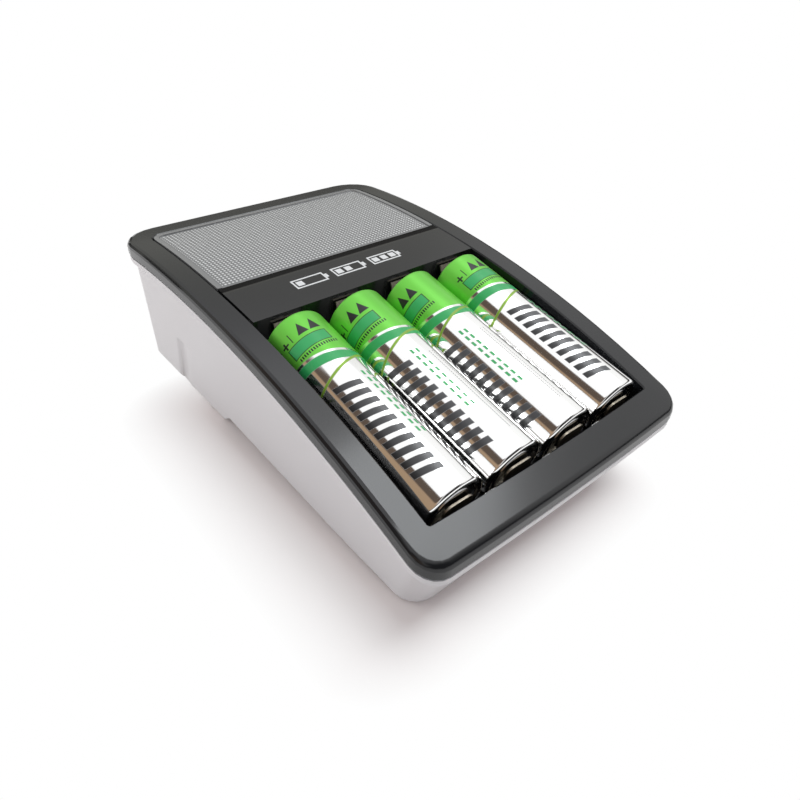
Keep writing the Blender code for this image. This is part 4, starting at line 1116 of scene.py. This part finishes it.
def build_world(settings):
    """Soft even sky for light, white for the camera, and walls with a dark horizon for mirrors."""
    world = bpy.data.worlds.new("studio")
    bpy.context.scene.world = world
    world.use_nodes = True
    tree = world.node_tree
    tree.nodes.clear()
    way = add(tree, "ShaderNodeTexCoord")
    split = add(tree, "ShaderNodeSeparateXYZ")
    tree.links.new(way.outputs["Generated"], split.inputs[0])
    compass = calculate(tree, "ARCTAN2", split.outputs[0], split.outputs[1])
    height = split.outputs[2]
    room = ramp(tree, height, RIGHT_WALL)
    for zone, wall in ((REAR_ZONE, REAR_WALL), (LEFT_ZONE, LEFT_WALL)):
        room = mix_colour(tree, band(tree, compass, *zone), room, ramp(tree, height, wall))
    before = above(tree, calculate(tree, "ABSOLUTE", compass), *FRONT_EDGE)
    room = mix_colour(tree, before, room, ramp(tree, height, FRONT_WALL))
    lift = product(tree, map_value(tree, height, *LIFT_HEIGHT, 0.0, 1.0, True),
                   band(tree, compass, *LIFT_ZONE))
    mirrored = background(tree, room, plus(tree, lift, MIRROR_STRENGTH))
    path = add(tree, "ShaderNodeLightPath")
    shown = either(tree, path.outputs["Is Camera Ray"], path.outputs["Is Transmission Ray"])
    total = background(tree, SKY_TINT, settings.sky)
    total = mix_shader(tree, path.outputs["Is Glossy Ray"], total, mirrored)
    total = mix_shader(tree, shown, total, background(tree, WHITE, 1.0))
    out = add(tree, "ShaderNodeOutputWorld")
    tree.links.new(total, out.inputs["Surface"])


def background(tree, shade, strength):
    """Background of a colour and strength; each is a socket or a plain value."""
    node = add(tree, "ShaderNodeBackground")
    feed(tree, node.inputs["Color"], shade)
    feed(tree, node.inputs["Strength"], strength)
    return node.outputs[0]


def mix_shader(tree, share, low, high):
    """Mix of two shaders."""
    node = add(tree, "ShaderNodeMixShader")
    for socket, value in zip(node.inputs, (share, low, high)):
        tree.links.new(value, socket)
    return node.outputs[0]


def area_lamp(name, lamp_shape, target, energy, tint, mirrored):
    """Soft rectangular lamp that looks at a point; mirrors see it or don't."""
    place, width, height = lamp_shape
    bpy.ops.object.light_add(type="AREA", location=place)
    lamp = bpy.context.object
    lamp.name = name
    lamp.data.shape = "RECTANGLE"
    lamp.data.size = width
    lamp.data.size_y = height
    lamp.data.energy = energy
    lamp.data.color = tint
    lamp.visible_glossy = mirrored
    lamp.rotation_euler = (Vector(target) - Vector(place)).to_track_quat("-Z", "Y").to_euler()


def build_lamps(settings):
    """Lamp high on the right whose gleam shows in the cover, and two soft ones that don't show."""
    area_lamp("key", KEY_LAMP, (0, 0, 0), settings.key, COOL_TINT, True)
    area_lamp("side_right", SIDE_LAMP, SOFT_LAMP_TARGET, settings.side, WARM_TINT, False)
    area_lamp("rear_left", REAR_LAMP, SOFT_LAMP_TARGET, settings.rear, WARM_TINT, False)


def build_camera():
    """Camera in front and to the left, looking down over the low corner."""
    data = bpy.data.cameras.new("photo_view")
    camera = bpy.data.objects.new("photo_view", data)
    bpy.context.scene.collection.objects.link(camera)
    turn = Vector(CAMERA_TURN)
    rotation = Matrix.Rotation(turn.length, 3, turn.normalized())
    rows = [rotation[0], -rotation[1], -rotation[2]]
    matrix = Matrix(rows).transposed().to_4x4()
    matrix.translation = Vector(CAMERA_PLACE)
    camera.matrix_world = matrix
    data.sensor_width = SENSOR_WIDTH
    data.lens = SENSOR_WIDTH * CAMERA_FOCUS / PICTURE_WIDTH
    data.clip_start = CAMERA_NEAR
    bpy.context.scene.camera = camera


class CHARGER_PT_panel(bpy.types.Panel):
    """Sidebar panel with every setting and every step of the dressing"""
    bl_label = "Battery charger"
    bl_idname = "CHARGER_PT_panel"
    bl_space_type = "VIEW_3D"
    bl_region_type = "UI"
    bl_category = "Charger"

    def draw(self, context):
        for scene_name, _ in GROUPS:
            group = getattr(context.scene, scene_name)
            area = self.layout.box()
            for name in group.bl_rna.properties.keys():
                if name not in ("rna_type", "name"):
                    area.prop(group, name)
        for step in STEPS:
            self.layout.operator(step.bl_idname)


GROUPS = (
    ("charger_body", BodySettings),
    ("charger_cover", CoverSettings),
    ("charger_cells", CellSettings),
    ("charger_stage", StageSettings),
)
STEPS = (
    CHARGER_OT_housing,
    CHARGER_OT_cover,
    CHARGER_OT_panel,
    CHARGER_OT_cells,
    CHARGER_OT_fittings,
    CHARGER_OT_stage,
)


def register():
    """Adds the settings to the scene and registers every step and the panel."""
    for name, group in GROUPS:
        bpy.utils.register_class(group)
        setattr(bpy.types.Scene, name, PointerProperty(type=group))
    for step in STEPS:
        bpy.utils.register_class(step)
    bpy.utils.register_class(CHARGER_PT_panel)


def unregister():
    """Takes away what register added."""
    bpy.utils.unregister_class(CHARGER_PT_panel)
    for step in reversed(STEPS):
        bpy.utils.unregister_class(step)
    for name, group in reversed(GROUPS):
        delattr(bpy.types.Scene, name)
        bpy.utils.unregister_class(group)


def main():
    """Registers the add-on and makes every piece."""
    register()
    for step in STEPS:
        area, word = step.bl_idname.split(".")
        getattr(getattr(bpy.ops, area), word)()


if __name__ == "__main__":
    main()
